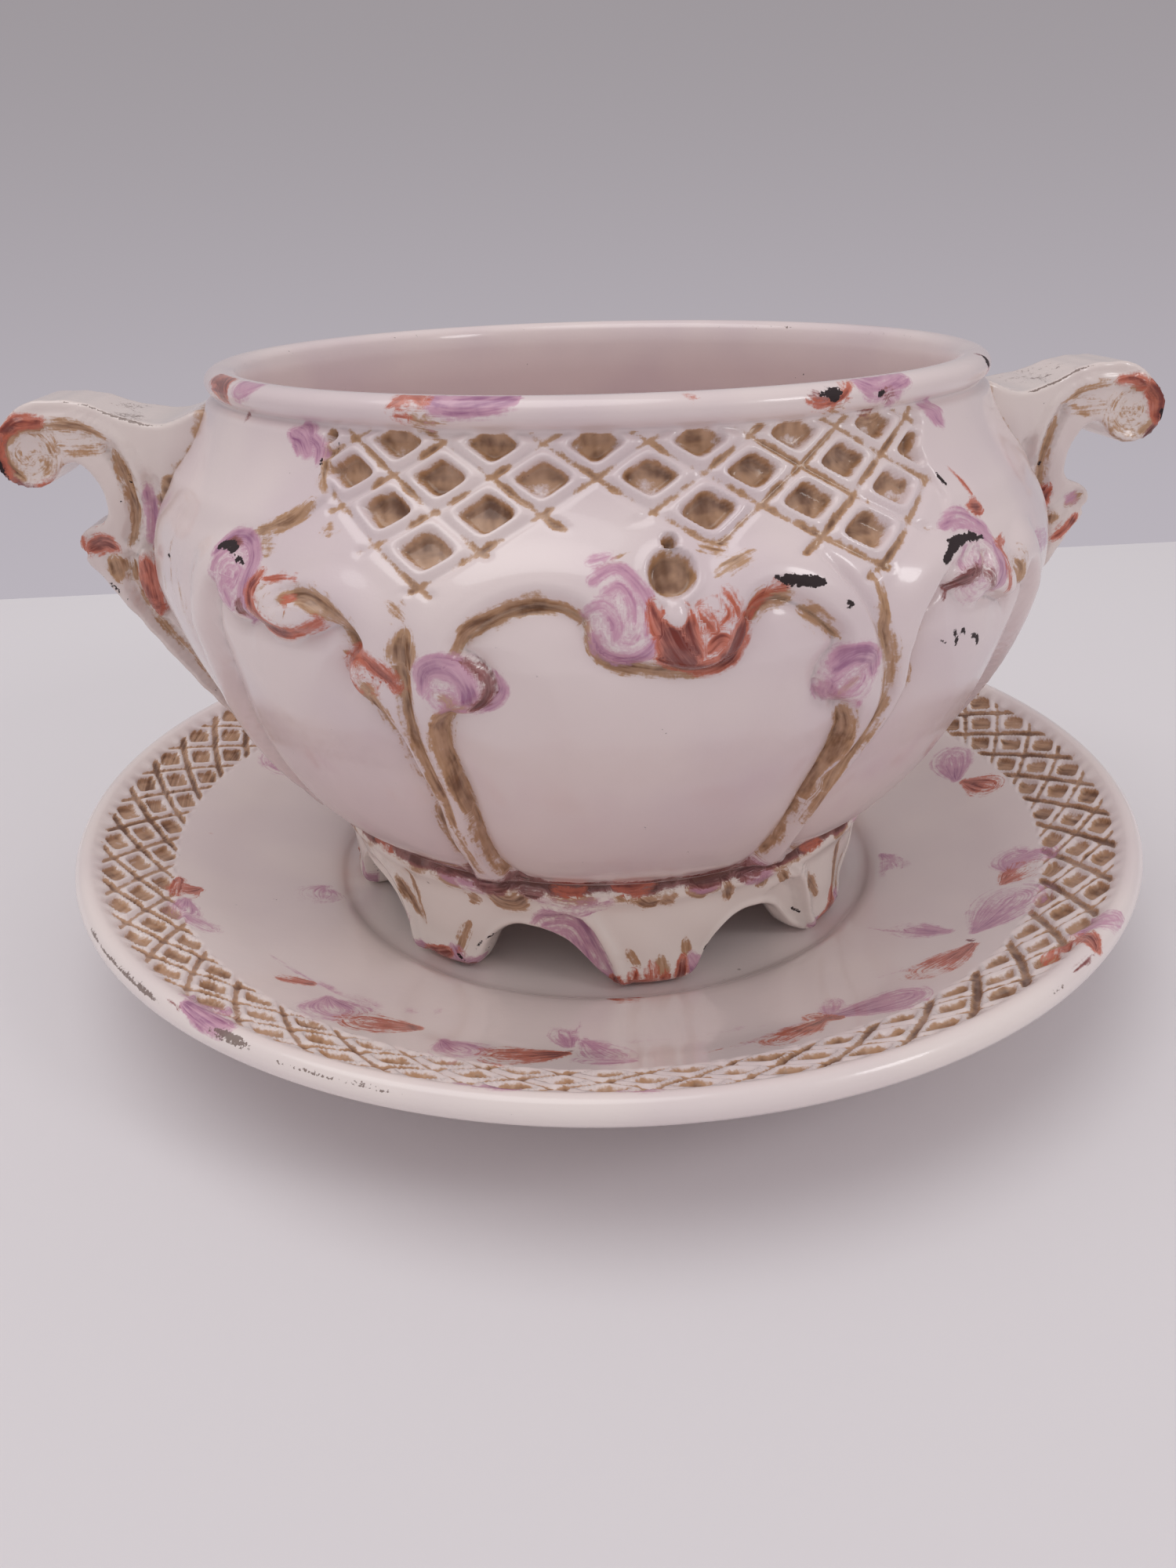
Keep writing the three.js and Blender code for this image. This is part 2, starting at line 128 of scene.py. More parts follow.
# A node tree that is filled by calls; add() makes any node and gives its output.
class Finish:
    def __init__(self, tree):
        self.tree = tree
        self.tree.nodes.clear()

    def add(self, kind, settings, inputs, output=0):
        node = self.tree.nodes.new(kind)
        for key, value in settings.items():
            setattr(node, key, value)
        for key, value in inputs.items():
            if isinstance(value, Wire):
                self.tree.links.new(value.socket, node.inputs[key])
            else:
                node.inputs[key].default_value = value
        return Wire(self, node.outputs[output]) if len(node.outputs) else node

    # a colour from first to second by share
    def mix(self, share, first, second):
        return self.add("ShaderNodeMix", {"data_type": "RGBA", "clamp_factor": True},
                        {0: share, 6: rgba(first), 7: rgba(second)}, 2)

    def noise(self, where, scale, detail, roughness=0.5, distortion=0.0):
        return self.add("ShaderNodeTexNoise", {}, {
            "Vector": where, "Scale": scale, "Detail": detail,
            "Roughness": roughness, "Distortion": distortion})

    # an S-curve from start at low to end at high
    def between(self, value, low, high, start=0.0, end=1.0):
        return self.add("ShaderNodeMapRange", {"interpolation_type": "SMOOTHSTEP", "clamp": True},
                        {0: value, 1: low, 2: high, 3: start, 4: end})

    def field(self, name):
        return self.add("ShaderNodeAttribute", {"attribute_name": name}, {}, "Fac")


# A colour as the sockets take it; a wire stays as it is.
def rgba(colour):
    return colour if isinstance(colour, Wire) else (*colour, 1.0)


# A colour picked on screen, 0 to 255, as linear light: v / 12.92 where dark,
# ((v + 0.055) / 1.055)^2.4 above.
def srgb(red, green, blue):
    values = np.array([red, green, blue]) / 255
    linear = np.where(values <= 0.04045, values / 12.92, ((values + 0.055) / 1.055) ** 2.4)
    return tuple(float(value) for value in linear)


# 1 for camera, glossy and transmission rays.
def backdropSeen(finish):
    camera = finish.add("ShaderNodeLightPath", {}, {}, "Is Camera Ray")
    rays = camera.socket.node.outputs
    glossy = Wire(finish, rays["Is Glossy Ray"])
    passing = Wire(finish, rays["Is Transmission Ray"])
    return finish.add("ShaderNodeMath", {"operation": "ADD", "use_clamp": True},
                      {0: camera + glossy, 1: passing})


# The room: an even fill on the object, and a wall that is seen behind it and in its gloss.
def addRoom():
    world = bpy.data.worlds.new("softRoom")
    scene.world = world
    world.use_nodes = True
    room = Finish(world.node_tree)
    fill = room.add("ShaderNodeBackground", {}, {
        "Color": rgba(studio["fillColour"]), "Strength": studio["fillStrength"]})
    direction = room.add("ShaderNodeTexCoord", {}, {}, "Generated")
    rise = room.add("ShaderNodeSeparateXYZ", {}, {0: direction}, "Z")
    wall = room.mix(room.between(rise, *studio["wallTurn"]),
                    srgb(*studio["wallLow"]), srgb(*studio["wallHigh"]))
    seen = room.add("ShaderNodeBackground", {}, {"Color": wall, "Strength": 1.0})
    room.add("ShaderNodeOutputWorld", {}, {
        "Surface": room.add("ShaderNodeMixShader", {}, {0: backdropSeen(room), 1: fill, 2: seen})})


def addFloor():
    left, right, near, far = studio["floorReach"]
    corners = [(left, near, 0), (right, near, 0), (right, far, 0), (left, far, 0)]
    mesh = bpy.data.meshes.new("floor")
    mesh.from_pydata(corners, [], [(0, 1, 2, 3)])
    floor = bpy.data.objects.new("floor", mesh)
    scene.collection.objects.link(floor)
    paper = bpy.data.materials.new("paleFloor")
    paper.use_nodes = True
    plain = Finish(paper.node_tree)
    plain.add("ShaderNodeOutputMaterial", {}, {"Surface": plain.add("ShaderNodeBsdfPrincipled", {}, {
        "Base Color": rgba(studio["floorColour"]), "Roughness": 0.9, "Specular IOR Level": 0.2})})
    mesh.materials.append(paper)


def addLamps():
    for name, place, target, size, watts in studio["lamps"]:
        lamp = bpy.data.lights.new(name, "AREA")
        lamp.shape = "DISK"
        lamp.size = size
        lamp.energy = watts
        holder = bpy.data.objects.new(name, lamp)
        holder.location = place
        holder.rotation_euler = (Vector(place) - Vector(target)).to_track_quat("Z", "Y").to_euler()
        scene.collection.objects.link(holder)


addCamera()
addRoom()
addFloor()
addLamps()
scene.view_settings.view_transform = "Standard"
print("camera, floor and light are set")


# Glaze and paint. Every piece carries the same six fields, each 0 where bare and 1 or a
# little more where thickly painted: ochre in the hollows (in the trellis recesses' upper halves
# also painted shade), lilac, rust, plum, chips, and worn edges. Two more, sweep and along, hold
# the millimetres across and along the nearest brush stroke, for its bristle marks.

fieldNames = ("ochre", "lilac", "rust", "plum", "chip", "worn")

glaze = {
    "white": srgb(234, 219, 217),
    "cool": srgb(223, 206, 209),
    "cream": srgb(230, 218, 205),
    "pink": srgb(245, 214, 212),
    # milk is a paler glaze tone; on the foot ring, laid on nearly whole, it is painted light against the
    # bowl's shade
    "milk": srgb(249, 240, 232),
    "ochre": srgb(188, 145, 108),
    # ochreDeep is the deep tone of thick ochre; in the upper halves of the trellis recesses it is painted
    # shade
    "ochreDeep": srgb(114, 74, 46),
    "lilac": srgb(203, 150, 174),
    "violet": srgb(152, 90, 132),
    "rust": srgb(200, 106, 80),
    "rustDeep": srgb(122, 44, 32),
    "plum": srgb(154, 92, 90),
    "plumDeep": srgb(98, 46, 42),
    "chip": srgb(46, 32, 34),
    "speck": srgb(116, 94, 84),
    "roughness": 0.27,
    "coatRoughness": 0.07,
    "coat": 0.55,
    "bump": 0.22,
    "bumpDepth": 0.0015,      # metres
}

# Noises all over a piece: scale, detail, roughness and distortion
glazeNoises = {
    "broad": (24, 2),
    "waves": (75, 2),
    "patches": (150, 3, 0.6, 0.6),
    "fine": (420, 3, 0.65),
    "grain": (1500, 2, 0.6),
}

# The painted layers, undermost first: pale and deep colour, the field at which the edge
# begins and ends, how much a layer hides, and where it turns from pale to deep
paintLayers = {
    "ochre": {"colours": ("ochre", "ochreDeep"), "edge": (0.32, 0.68), "cover": 0.97, "turn": (0.5, 1.1)},
    "lilac": {"colours": ("lilac", "violet"), "edge": (0.12, 0.72), "cover": 0.92, "turn": (0.5, 1.15)},
    "plum": {"colours": ("plum", "plumDeep"), "edge": (0.3, 0.7), "cover": 0.97, "turn": (0.4, 0.95)},
    "rust": {"colours": ("rust", "rustDeep"), "edge": (0.26, 0.7), "cover": 0.97, "turn": (0.5, 1.05)},
}


# Milk-white glaze leaning to a tint by a share, with the painted layers over it. A layer's
# ragged edge is its field plus noise of three sizes and the bristle marks.
def glazeMaterial(name, tint, share):
    material = bpy.data.materials.new(name)
    material.use_nodes = True
    finish = Finish(material.node_tree)
    place = finish.add("ShaderNodeTexCoord", {}, {}, "Object")
    broad, waves, patches, fine, grain = (
        finish.noise(place, *values) for values in glazeNoises.values())
    brushed = finish.add("ShaderNodeCombineXYZ", {}, {
        0: finish.field("sweep"), 1: finish.field("along") * 0.11, 2: broad})
    bristles = finish.noise(brushed, 1.15, 2, 0.6)

    white = finish.mix(finish.between(broad, 0.35, 0.7), glaze["white"], glaze["cool"])
    white = finish.mix(share, white, glaze[tint])
    pinHoles = finish.add("ShaderNodeTexVoronoi", {"feature": "F1"},
                          {"Vector": place, "Scale": 62}, "Distance")
    here = finish.between(finish.noise(place, 37, 1), 0.58, 0.63)
    colour = finish.mix(finish.between(pinHoles, 0.03, 0.055, 1, 0) * here * 0.7, white, glaze["speck"])

    uneven = (patches - 0.5) * 0.7 + (fine - 0.5) * 0.7 + (grain - 0.5) * 0.4 + (bristles - 0.5) * 1.2
    turning = (bristles - 0.5) * 1.3 + (patches - 0.5) * 1.1
    thin = 0.97 + (bristles - 0.5) * 0.4
    masks = {}
    for layer, coat in paintLayers.items():
        field = finish.field(layer)
        painted = finish.between(field, 0.0, 0.2)    # keeps the noise off the bare glaze
        edge = finish.between(field + uneven * painted, *coat["edge"], 0, coat["cover"])
        masks[layer] = edge * thin
        depth = finish.between(field * 0.8 + turning, *coat["turn"])
        pale, deep = (glaze[key] for key in coat["colours"])
        colour = finish.mix(masks[layer], colour, finish.mix(depth, pale, deep))

    ragged = (patches - 0.5) * 0.9 + (grain - 0.5) * 0.9
    wornMask = finish.between(finish.field("worn") + ragged, 0.7, 0.8)
    colour = finish.mix(wornMask * 0.85, colour, glaze["speck"])
    broken = (fine - 0.5) * 1.5 + (patches - 0.5) * 0.7 + (grain - 0.5) * 0.5
    chipMask = finish.between(finish.field("chip") + broken, 0.44, 0.54)
    colour = finish.mix(chipMask, colour, glaze["chip"])

    rough = glaze["roughness"] + masks["ochre"] * 0.15 + chipMask * 0.4 + wornMask * 0.2
    relief = (broad * 0.8 + waves * 0.35 + fine * 0.1 + grain * 0.03
              - chipMask * 0.5 - wornMask * 0.2 - masks["ochre"] * 0.06)
    bump = finish.add("ShaderNodeBump", {}, {
        "Strength": glaze["bump"], "Distance": glaze["bumpDepth"], "Height": relief})
    shader = finish.add("ShaderNodeBsdfPrincipled", {}, {
        "Base Color": colour,
        "Roughness": rough,
        "IOR": 1.5,
        "Specular IOR Level": 0.45,
        "Coat Weight": (1 - chipMask) * glaze["coat"],
        "Coat Roughness": glaze["coatRoughness"],
        "Normal": bump,
    })
    finish.add("ShaderNodeOutputMaterial", {}, {"Surface": shader})
    return material


# Shapes as whole arrays

# 0 below low and 1 above high, with 3t^2 - 2t^3 between.
def smooth(x, low, high):
    t = np.clip((np.asarray(x, float) - low) / (high - low), 0, 1)
    return t * t * (3 - 2 * t)


# A bell: 1 at the middle, falling as exp(-(x / width)^2).
def bell(x, width):
    return np.exp(-(x / width) ** 2)


# Catmull-Rom: each stretch is the cubic through its ends with slopes (next - last) / 2.
def spline(points, closed=False, steps=6):
    p = np.array(points, float)
    if closed:
        before, here, after, last = np.roll(p, 1, 0), p, np.roll(p, -1, 0), np.roll(p, -2, 0)
    else:
        full = np.vstack([2 * p[0] - p[1], p, 2 * p[-1] - p[-2]])
        before, here, after, last = full[:-3], full[1:-2], full[2:-1], full[3:]
    t = np.linspace(0, 1, steps, endpoint=False)[:, None, None]
    curve = 0.5 * (2 * here + (after - before) * t + (2 * before - 5 * here + 4 * after - last) * t ** 2
                   + (3 * here - before - 3 * after + last) * t ** 3)
    curve = curve.transpose(1, 0, 2).reshape(-1, p.shape[1])
    return np.vstack([curve, curve[:1]]) if closed else np.vstack([curve, p[-1:]])


# Cubic Bezier: (1-t)^3 a + 3(1-t)^2 t b + 3(1-t) t^2 c + t^3 d.
def bezier(a, b, c, d, count):
    t = np.linspace(0, 1, count)[:, None]
    a, b, c, d = (np.array(p, float) for p in (a, b, c, d))
    return (1 - t) ** 3 * a + 3 * (1 - t) ** 2 * t * b + 3 * (1 - t) * t ** 2 * c + t ** 3 * d


def asIs(up):
    return np.asarray(up, float)


# A surface laid flat: across in degrees and up in the piece's own measure, with the
# millimetres of one degree at each place, and the arc length that belongs to up.
class Chart:
    def __init__(self, across, up, perDegree, arcOf=asIs):
        self.across = across
        self.up = up
        self.perDegree = perDegree
        self.arcOf = arcOf
        self.arc = arcOf(up)

    # Distance in millimetres to a spline, at most reach: the least over its straight bits of
    # |p - (a + t(b - a))|, t held from 0 to 1. With it the share of the way along, the side,
    # 1 or -1, and the spline's length.
    def trace(self, points, reach, closed=False, steps=6):
        path = spline(points, closed, steps)
        arcs = self.arcOf(path[:, 1])
        margin = reach / self.perDegree.min()
        close = ((self.across > path[:, 0].min() - margin) & (self.across < path[:, 0].max() + margin)
                 & (self.arc > arcs.min() - reach) & (self.arc < arcs.max() + reach))
        x, y, k = self.across[close], self.arc[close], self.perDegree[close]
        best = np.full(x.shape, float(reach))
        along = np.zeros(x.shape)
        hand = np.ones(x.shape)
        count = len(path) - 1
        for i in range(count):
            ex, ey = (path[i + 1, 0] - path[i, 0]) * k, arcs[i + 1] - arcs[i]
            dx, dy = (x - path[i, 0]) * k, y - arcs[i]
            t = np.clip((dx * ex + dy * ey) / (ex * ex + ey * ey + 1e-9), 0, 1)
            distance = np.hypot(dx - t * ex, dy - t * ey)
            closer = distance < best
            best = np.where(closer, distance, best)
            along = np.where(closer, (i + t) / count, along)
            hand = np.where(closer, np.sign(ex * dy - ey * dx), hand)
        distance = np.full(self.across.shape, float(reach))
        share = np.zeros(self.across.shape)
        side = np.ones(self.across.shape)
        distance[close] = best
        share[close] = along
        side[close] = hand
        scale = k.mean() if len(k) else 1.0
        return distance, share, side, np.hypot(np.diff(path[:, 0]) * scale, np.diff(arcs)).sum()

    # Distance to a spline and the share of the way along it.
    def near(self, points, reach, closed=False):
        return self.trace(points, reach, closed)[:2]

    # Signed distance to a closed outline, positive inside, where an odd count of its
    # sides is crossed on the way out.
    def inside(self, points, reach):
        path = spline(points, True)
        odd = np.zeros(self.across.shape, bool)
        for (x0, y0), (x1, y1) in zip(path[:-1], path[1:]):
            if y0 == y1:
                continue
            crossed = (y0 > self.up) != (y1 > self.up)
            odd ^= crossed & (self.across < x0 + (x1 - x0) * (self.up - y0) / (y1 - y0))
        distance = self.near(points, reach, True)[0]
        return np.where(odd, distance, -distance)

    # Millimetres across and up from a centre, and their length.
    def polar(self, centre):
        dx = (self.across - centre[0]) * self.perDegree
        dy = self.arc - self.arcOf(np.array([centre[1]], float))[0]
        return dx, dy, np.hypot(dx, dy)


# How fast a stroke's edge fades, in millimetres to each side
brushEase = {"ochre": 1.4, "rust": 1.2, "lilac": 1.0, "plum": 1.0, "chip": 0.9}
bristleShift = 5              # of a stroke's bristles by its place, so that no two are alike


# The painted fields of a surface. Each layer keeps its strongest mark. The bristles follow
# the strongest mark of all: sweep runs across it and along down it, in millimetres.
class Paint:
    def __init__(self, chart):
        self.chart = chart
        self.fields = {key: np.zeros(chart.across.shape) for key in fieldNames}
        self.fields["sweep"] = chart.across * chart.perDegree * 0.2
        self.fields["along"] = chart.arc + 0 * chart.across
        self.power = np.zeros(chart.across.shape)

    def lay(self, layer, value, sweep=None, along=None):
        self.fields[layer] = np.maximum(self.fields[layer], value)
        if sweep is not None:
            stronger = value > self.power
            self.power = np.where(stronger, value, self.power)
            self.fields["sweep"] = np.where(stronger, sweep, self.fields["sweep"])
            self.fields["along"] = np.where(stronger, along, self.fields["along"])

    # A brush stroke, thinner at its ends: strength * (1/2 + (half width - distance) / (2 ease)).
    def stroke(self, layer, points, width, strength, ease, chart):
        distance, share, side, length = chart.trace(points, width / 2 + 2 * ease + 0.5, steps=4)
        half = width / 2 * (1 - 0.5 * np.abs(2 * share - 1) ** 3)
        value = strength * np.clip(0.5 + (half - distance) / (2 * ease), 0, 1)
        self.lay(layer, value, distance * side + bristleShift * points[0][0], share * length)

    # Strokes by layer, each (points, width) or (points, width, strength).
    def strokes(self, marks, soft=1.0, chart=None):
        for layer, listed in marks.items():
            for points, width, *strength in listed:
                self.stroke(layer, points, width, strength[0] if strength else 1.0,
                            brushEase[layer] * soft, chart or self.chart)

    # A pressed brush mark, narrow and strong at its tip, spreading and fading to its tail.
    def fan(self, layer, tip, tail, spread, strength):
        distance, share, side, length = self.chart.trace([tip, tail], spread / 2 + 3, steps=8)
        half = 1.6 + (spread / 2 - 1.6) * np.sin(np.pi / 2 * share)
        away = distance / half
        value = strength * np.clip(1.3 - 0.9 * away ** 2, 0, 1.15) * (1 - 0.48 * share ** 1.4)
        self.lay(layer, value, away * side * spread * 0.6 + bristleShift * tip[0], share * length)

    # Paint over a curl, with bristle marks that go round its middle.
    def coil(self, layer, centre, radius, strength):
        dx, dy, away = self.chart.polar(centre)
        value = strength * np.clip(0.5 + (radius - away) / 2.2, 0, 1)
        self.lay(layer, value, away, np.arctan2(dy, dx) * radius)


# Fields whose paint is kept only as far as the mask goes.
def masked(fields, mask):
    return {key: value * mask if key in fieldNames else value for key, value in fields.items()}


# A closed skin from a grid in millimetres: rows run along the profile and columns round it.
# Each end row is closed by a fan of triangles on its middle.
def gridPiece(name, x, y, z, fields):
    rows, columns = x.shape
    points = np.stack([x, y, z], -1).reshape(-1, 3)
    row, column = np.meshgrid(np.arange(rows - 1), np.arange(columns), indexing="ij")
    nextColumn = (column + 1) % columns
    quads = np.stack([row * columns + column, row * columns + nextColumn,
                      (row + 1) * columns + nextColumn, (row + 1) * columns + column], -1).reshape(-1, 4)
    ring = np.arange(columns)
    after = (ring + 1) % columns
    values = {key: value.reshape(-1) for key, value in fields.items()}
    fans = []
    for base, first, second in ((0, after, ring), ((rows - 1) * columns, ring, after)):
        middle = len(points)
        points = np.vstack([points, points[base:base + columns].mean(0)])
        values = {key: np.append(value, value[base:base + columns].mean())
                  for key, value in values.items()}
        fans.append(np.stack([base + first, base + second, np.full(columns, middle)], -1))
    return meshPiece(name, points, quads, np.vstack(fans), values)


# A closed ring from a grid whose rows go once round its section, down its outside and up its inside.
def ringPiece(name, x, y, z, fields):
    rows, columns = x.shape
    points = np.stack([x, y, z], -1).reshape(-1, 3)
    row, column = np.meshgrid(np.arange(rows), np.arange(columns), indexing="ij")
    nextRow, nextColumn = (row + 1) % rows, (column + 1) % columns
    quads = np.stack([row * columns + column, nextRow * columns + column,
                      nextRow * columns + nextColumn, row * columns + nextColumn], -1).reshape(-1, 4)
    values = {key: value.reshape(-1) for key, value in fields.items()}
    return meshPiece(name, points, quads, np.zeros((0, 3), int), values)


def meshPiece(name, points, quads, triangles, fields):
    mesh = bpy.data.meshes.new(name)
    mesh.vertices.add(len(points))
    mesh.vertices.foreach_set("co", (points * millimetre).astype(np.float32).ravel())
    corners = np.concatenate([quads.ravel(), triangles.ravel()])
    starts = np.concatenate([np.arange(len(quads)) * 4, len(quads) * 4 + np.arange(len(triangles)) * 3])
    mesh.loops.add(len(corners))
    mesh.loops.foreach_set("vertex_index", corners.astype(np.int32))
    mesh.polygons.add(len(starts))
    mesh.polygons.foreach_set("loop_start", starts.astype(np.int32))
    mesh.update(calc_edges=True)
    mesh.validate()
    return addPiece(mesh, fields)


# Gives a mesh its painted fields, smooth faces and an object.
def addPiece(mesh, fields):
    for key, values in fields.items():
        if key in fieldNames:
            values = np.clip(values, 0, 1.3)
        attribute = mesh.attributes.new(key, "FLOAT", "POINT")
        attribute.data.foreach_set("value", values.astype(np.float32))
    mesh.polygons.foreach_set("use_smooth", np.ones(len(mesh.polygons), bool))
    piece = bpy.data.objects.new(mesh.name, mesh)
    scene.collection.objects.link(piece)
    return piece


def seat(piece, body, node, material):
    piece.data.materials.append(material)
    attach(piece, body)
    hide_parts(node)


# Places from start to end that lie closer where density(x) is higher: equal steps of its integral.
def spacing(start, end, count, density):
    x = np.linspace(start, end, 4000)
    total = np.concatenate([[0], np.cumsum((density(x[1:]) + density(x[:-1])) / 2)])
    return np.interp(np.linspace(0, total[-1], count, endpoint=False), total, x)


# A slow hand-made unevenness: a sum of five sines in both directions.
def wobble(across, up, seed, size):
    draw = np.random.default_rng(seed)
    total = np.zeros(np.broadcast(across, up).shape)
    for _ in range(5):
        turns = draw.integers(2, 9)
        lean, start = draw.uniform(0.02, 0.12), draw.uniform(0, 6.28)
        total = total + np.sin(np.radians(across) * turns + up * lean + start)
    return total * size / 5


# Bowl

bowl = {
    "baseRadius": 76.5,
    "bellyRadius": 109.0,
    "bellyHeight": 64.0,      # over the bowl's base, as the neck's height
    "lowerSwell": (25.5, 30.0),
    "bellyRound": 2.0,
    "shoulderRound": 20.0,
    "neckRadius": 90.3,
    "neckHeight": 102.0,
    "neckSweep": (6.3, 20.0),
    "mouthRadius": 85.0,
    "lipRadius": 92.7,
    "lipHeight": 6.0,
    "lipTurn": (-62, 180),    # degrees round the lip's section, from under its edge to the mouth
    "lipRows": 15,
    "wall": 6.5,
    "floor": 7.0,
    "floorRound": (8.0, 6.0),
    "columns": (412, 196),    # on the front and on the back
    "rows": (26, 28, 72),     # below the arches, along them, and up the trellis
    "rowsFrom": (84, 99),     # heights above the feet where the second and third begin
    "outlineReach": 40.0,     # how far from a panel's outline the relief follows it
    "grooveDepth": 1.4,       # along a panel's edge
    "panelSwell": 2.0,
    "frameRise": 2.5,         # of the framing over the wall
    "frameRound": 3.1,
    "frameSettle": 1.5,       # back to the wall, away from the panels
    "shoulderRise": 1.0,      # of the smooth wall beside the trellis
    "hole": (1.15, 111.6),    # azimuth and height of the round sinking over the front curls
    "holeRadius": 4.0,
    "nub": (1.3, 116.2),      # of the small one over it
    "nubRadius": 1.3,
    "holeDepth": 2.4,
    "drop": (1.25, 105.4),    # of the raised drop below it
    "dropRadius": 2.2,
    "dropRise": 1.5,
}

trellis = {
    "across": 11.6,           # degrees from diamond to diamond
    "up": 11.3,
    "centre": (0.0, 126.3),
    "recess": 0.3,            # shares of a cell, from its middle
    "bead": 0.375,
    "groove": 0.45,
    "depth": 2.2,
    "beadRise": 0.4,
    "grooveDepth": 0.6,
    "left": [(-39.4, 138), (-39.3, 133), (-38.8, 128), (-37.6, 124), (-37.4, 121.4), (-39, 119),
             (-42, 116)],
    "right": [(37.6, 138), (37, 130), (35.2, 126), (35.6, 122), (36.2, 117), (34.6, 113.4)],
    # azimuth and height along the lower edge
    "floor": [(-44, 121), (-38, 120.4), (-34, 116.6), (-30, 112.6), (-26, 109), (-22.4, 106.8),
              (-19.6, 109.4),
              (-16.6, 113.4), (-13, 116), (-10, 117.6), (-6, 118.6), (-3, 119), (0, 118.6),
              (4, 115.8), (9, 113.4),
              (14, 112.2), (18, 109.8), (22, 106.8), (26, 109.6), (31, 112.2), (36, 114.6)],
}

# Outlines of the smooth panels, [azimuth, height above the feet], anticlockwise
frontPanel = [
    (0, 33.2), (10, 33), (15, 33.6), (18, 35.2), (19.5, 38), (20, 44), (20.1, 52), (20.2, 60), (20.7, 68),
    (21, 75), (20.8, 80), (19.6, 83.6), (17.2, 86.2), (16, 90), (16.3, 93.8), (17.4, 96.8), (17.2, 99.2),
    (16, 101.6), (14.3, 104.2), (12.4, 106.3), (10.6, 107.1), (9, 106.2), (7.9, 103.6), (7.3, 100.2),
    (6.6, 97.2), (5, 95.2), (2.6, 94.8), (0.6, 95.6), (-1.6, 96.6), (-4, 97.4), (-5.6, 99.4),
    (-6.3, 102.6),
    (-7.3, 105.4), (-9.2, 107.2), (-11.6, 107.7), (-14, 106.7), (-16.4, 104.6), (-18.2, 102),
    (-18.9, 99.4),
    (-17.4, 97.6), (-16.4, 95), (-16.5, 91.2), (-17.8, 88.4), (-20.4, 86.6), (-21.8, 83.4), (-22.4, 77),
    (-22.1, 70), (-21.9, 60), (-22.2, 50), (-22.2, 43), (-21.2, 38), (-19, 35), (-15, 33.6), (-10, 33),
]
leftPanel = [
    (-34, 33.6), (-30, 34.8), (-27.8, 38), (-27.2, 44), (-27.3, 52), (-26.5, 62), (-27, 72), (-27.7, 80),
    (-29, 85.4), (-31, 89), (-31.6, 92.6), (-31, 96), (-29.9, 98.4), (-30.6, 100.4), (-32.6, 101.6),
    (-35, 99.4), (-38, 98), (-41.4, 98.4), (-43.8, 99.6), (-46, 98.6), (-48.6, 101), (-50, 104),
    (-50.8, 101),
    (-51.2, 96), (-52, 88), (-53.6, 80), (-56.6, 70), (-60.6, 58), (-64.4, 46), (-66.6, 38),
    (-62, 34.4), (-48, 33.4),
]
rightPanel = [
    (34, 33.6), (48, 33.4), (62, 34.4), (66.6, 38), (64.4, 46), (60.4, 58), (56.2, 70), (53.2, 80),
    (51.6, 88),
    (50.6, 95), (49, 99.6), (46.6, 97), (43.6, 95.6), (40.8, 97.6), (37.4, 99.2), (34, 101),
    (31.6, 103.4),
    (29.6, 101.2), (28, 98), (27.4, 94), (28, 89), (28.4, 84.6), (27.8, 78), (26.2, 70), (24.4, 62),
    (23.8, 54), (23.8, 46), (24.6, 40), (27, 36),
]

# Grooves cut into the framing: points, width, depth
bowlGrooves = [
    ([(-24.6, 101), (-25, 93), (-25.1, 84), (-25, 76), (-24.5, 66), (-24.3, 60)], 2.4, 1.5),
    ([(16.5, 113), (19, 108), (21, 103), (22.5, 98), (23.7, 93), (25.2, 84), (24.7, 78), (23.5, 71.5),
      (22, 65.5), (20.8, 61)], 2.4, 1.5),
    ([(-39.5, 103.6), (-38.6, 105.4), (-36, 106.3), (-33.4, 105), (-31, 102.6), (-29.6, 100.2),
      (-28.8, 97.6)], 2.6, 1.6),
    ([(37, 104), (38, 106.4), (35.6, 107.4), (33, 106.6), (31, 104.2), (29.4, 101)], 2.6, 1.4),
    ([(-56, 107), (-56, 98), (-57.4, 88), (-60.4, 76), (-64.6, 62), (-68.6, 48), (-71.4, 36)], 3.4, 1.1),
    ([(52.6, 107), (53.6, 98), (56.4, 88), (59.8, 76), (64.4, 62), (68.6, 48), (71.4, 36)], 3.4, 1.1),
    ([(43.2, 105.2), (44.6, 101.6), (45, 97), (45.2, 93.6)], 2.6, 1.5),
]

# Curls: centre, radius, turn in degrees, handedness, height, and the paint over them
bowlCurls = [
    ((-3.4, 103.8), 6.8, 60, 1, 3.2, "lilac", 0.36),
    ((4.8, 102.6), 6.2, 120, -1, 3.2, "rust", 0.42),
    ((-19.6, 92.6), 6.6, 100, -1, 2.8, "lilac", 0.46),
    ((19.4, 90.4), 6.4, 80, 1, 2.8, "lilac", 0.48),
    ((-28.6, 93.6), 4.6, 70, 1, 1.8, "rust", 0.4),
    ((-39.2, 103), 6.6, 200, 1, 2.4, "ochre", 0.3),
    ((-46.6, 106.6), 6.8, 150, -1, 2.2, "lilac", 0.55),
    ((36.6, 104.8), 7.2, 20, -1, 2.4, "lilac", 0.36),
    ((45.4, 103.4), 4.6, 40, 1, 1.8, "ochre", 0.25),
]

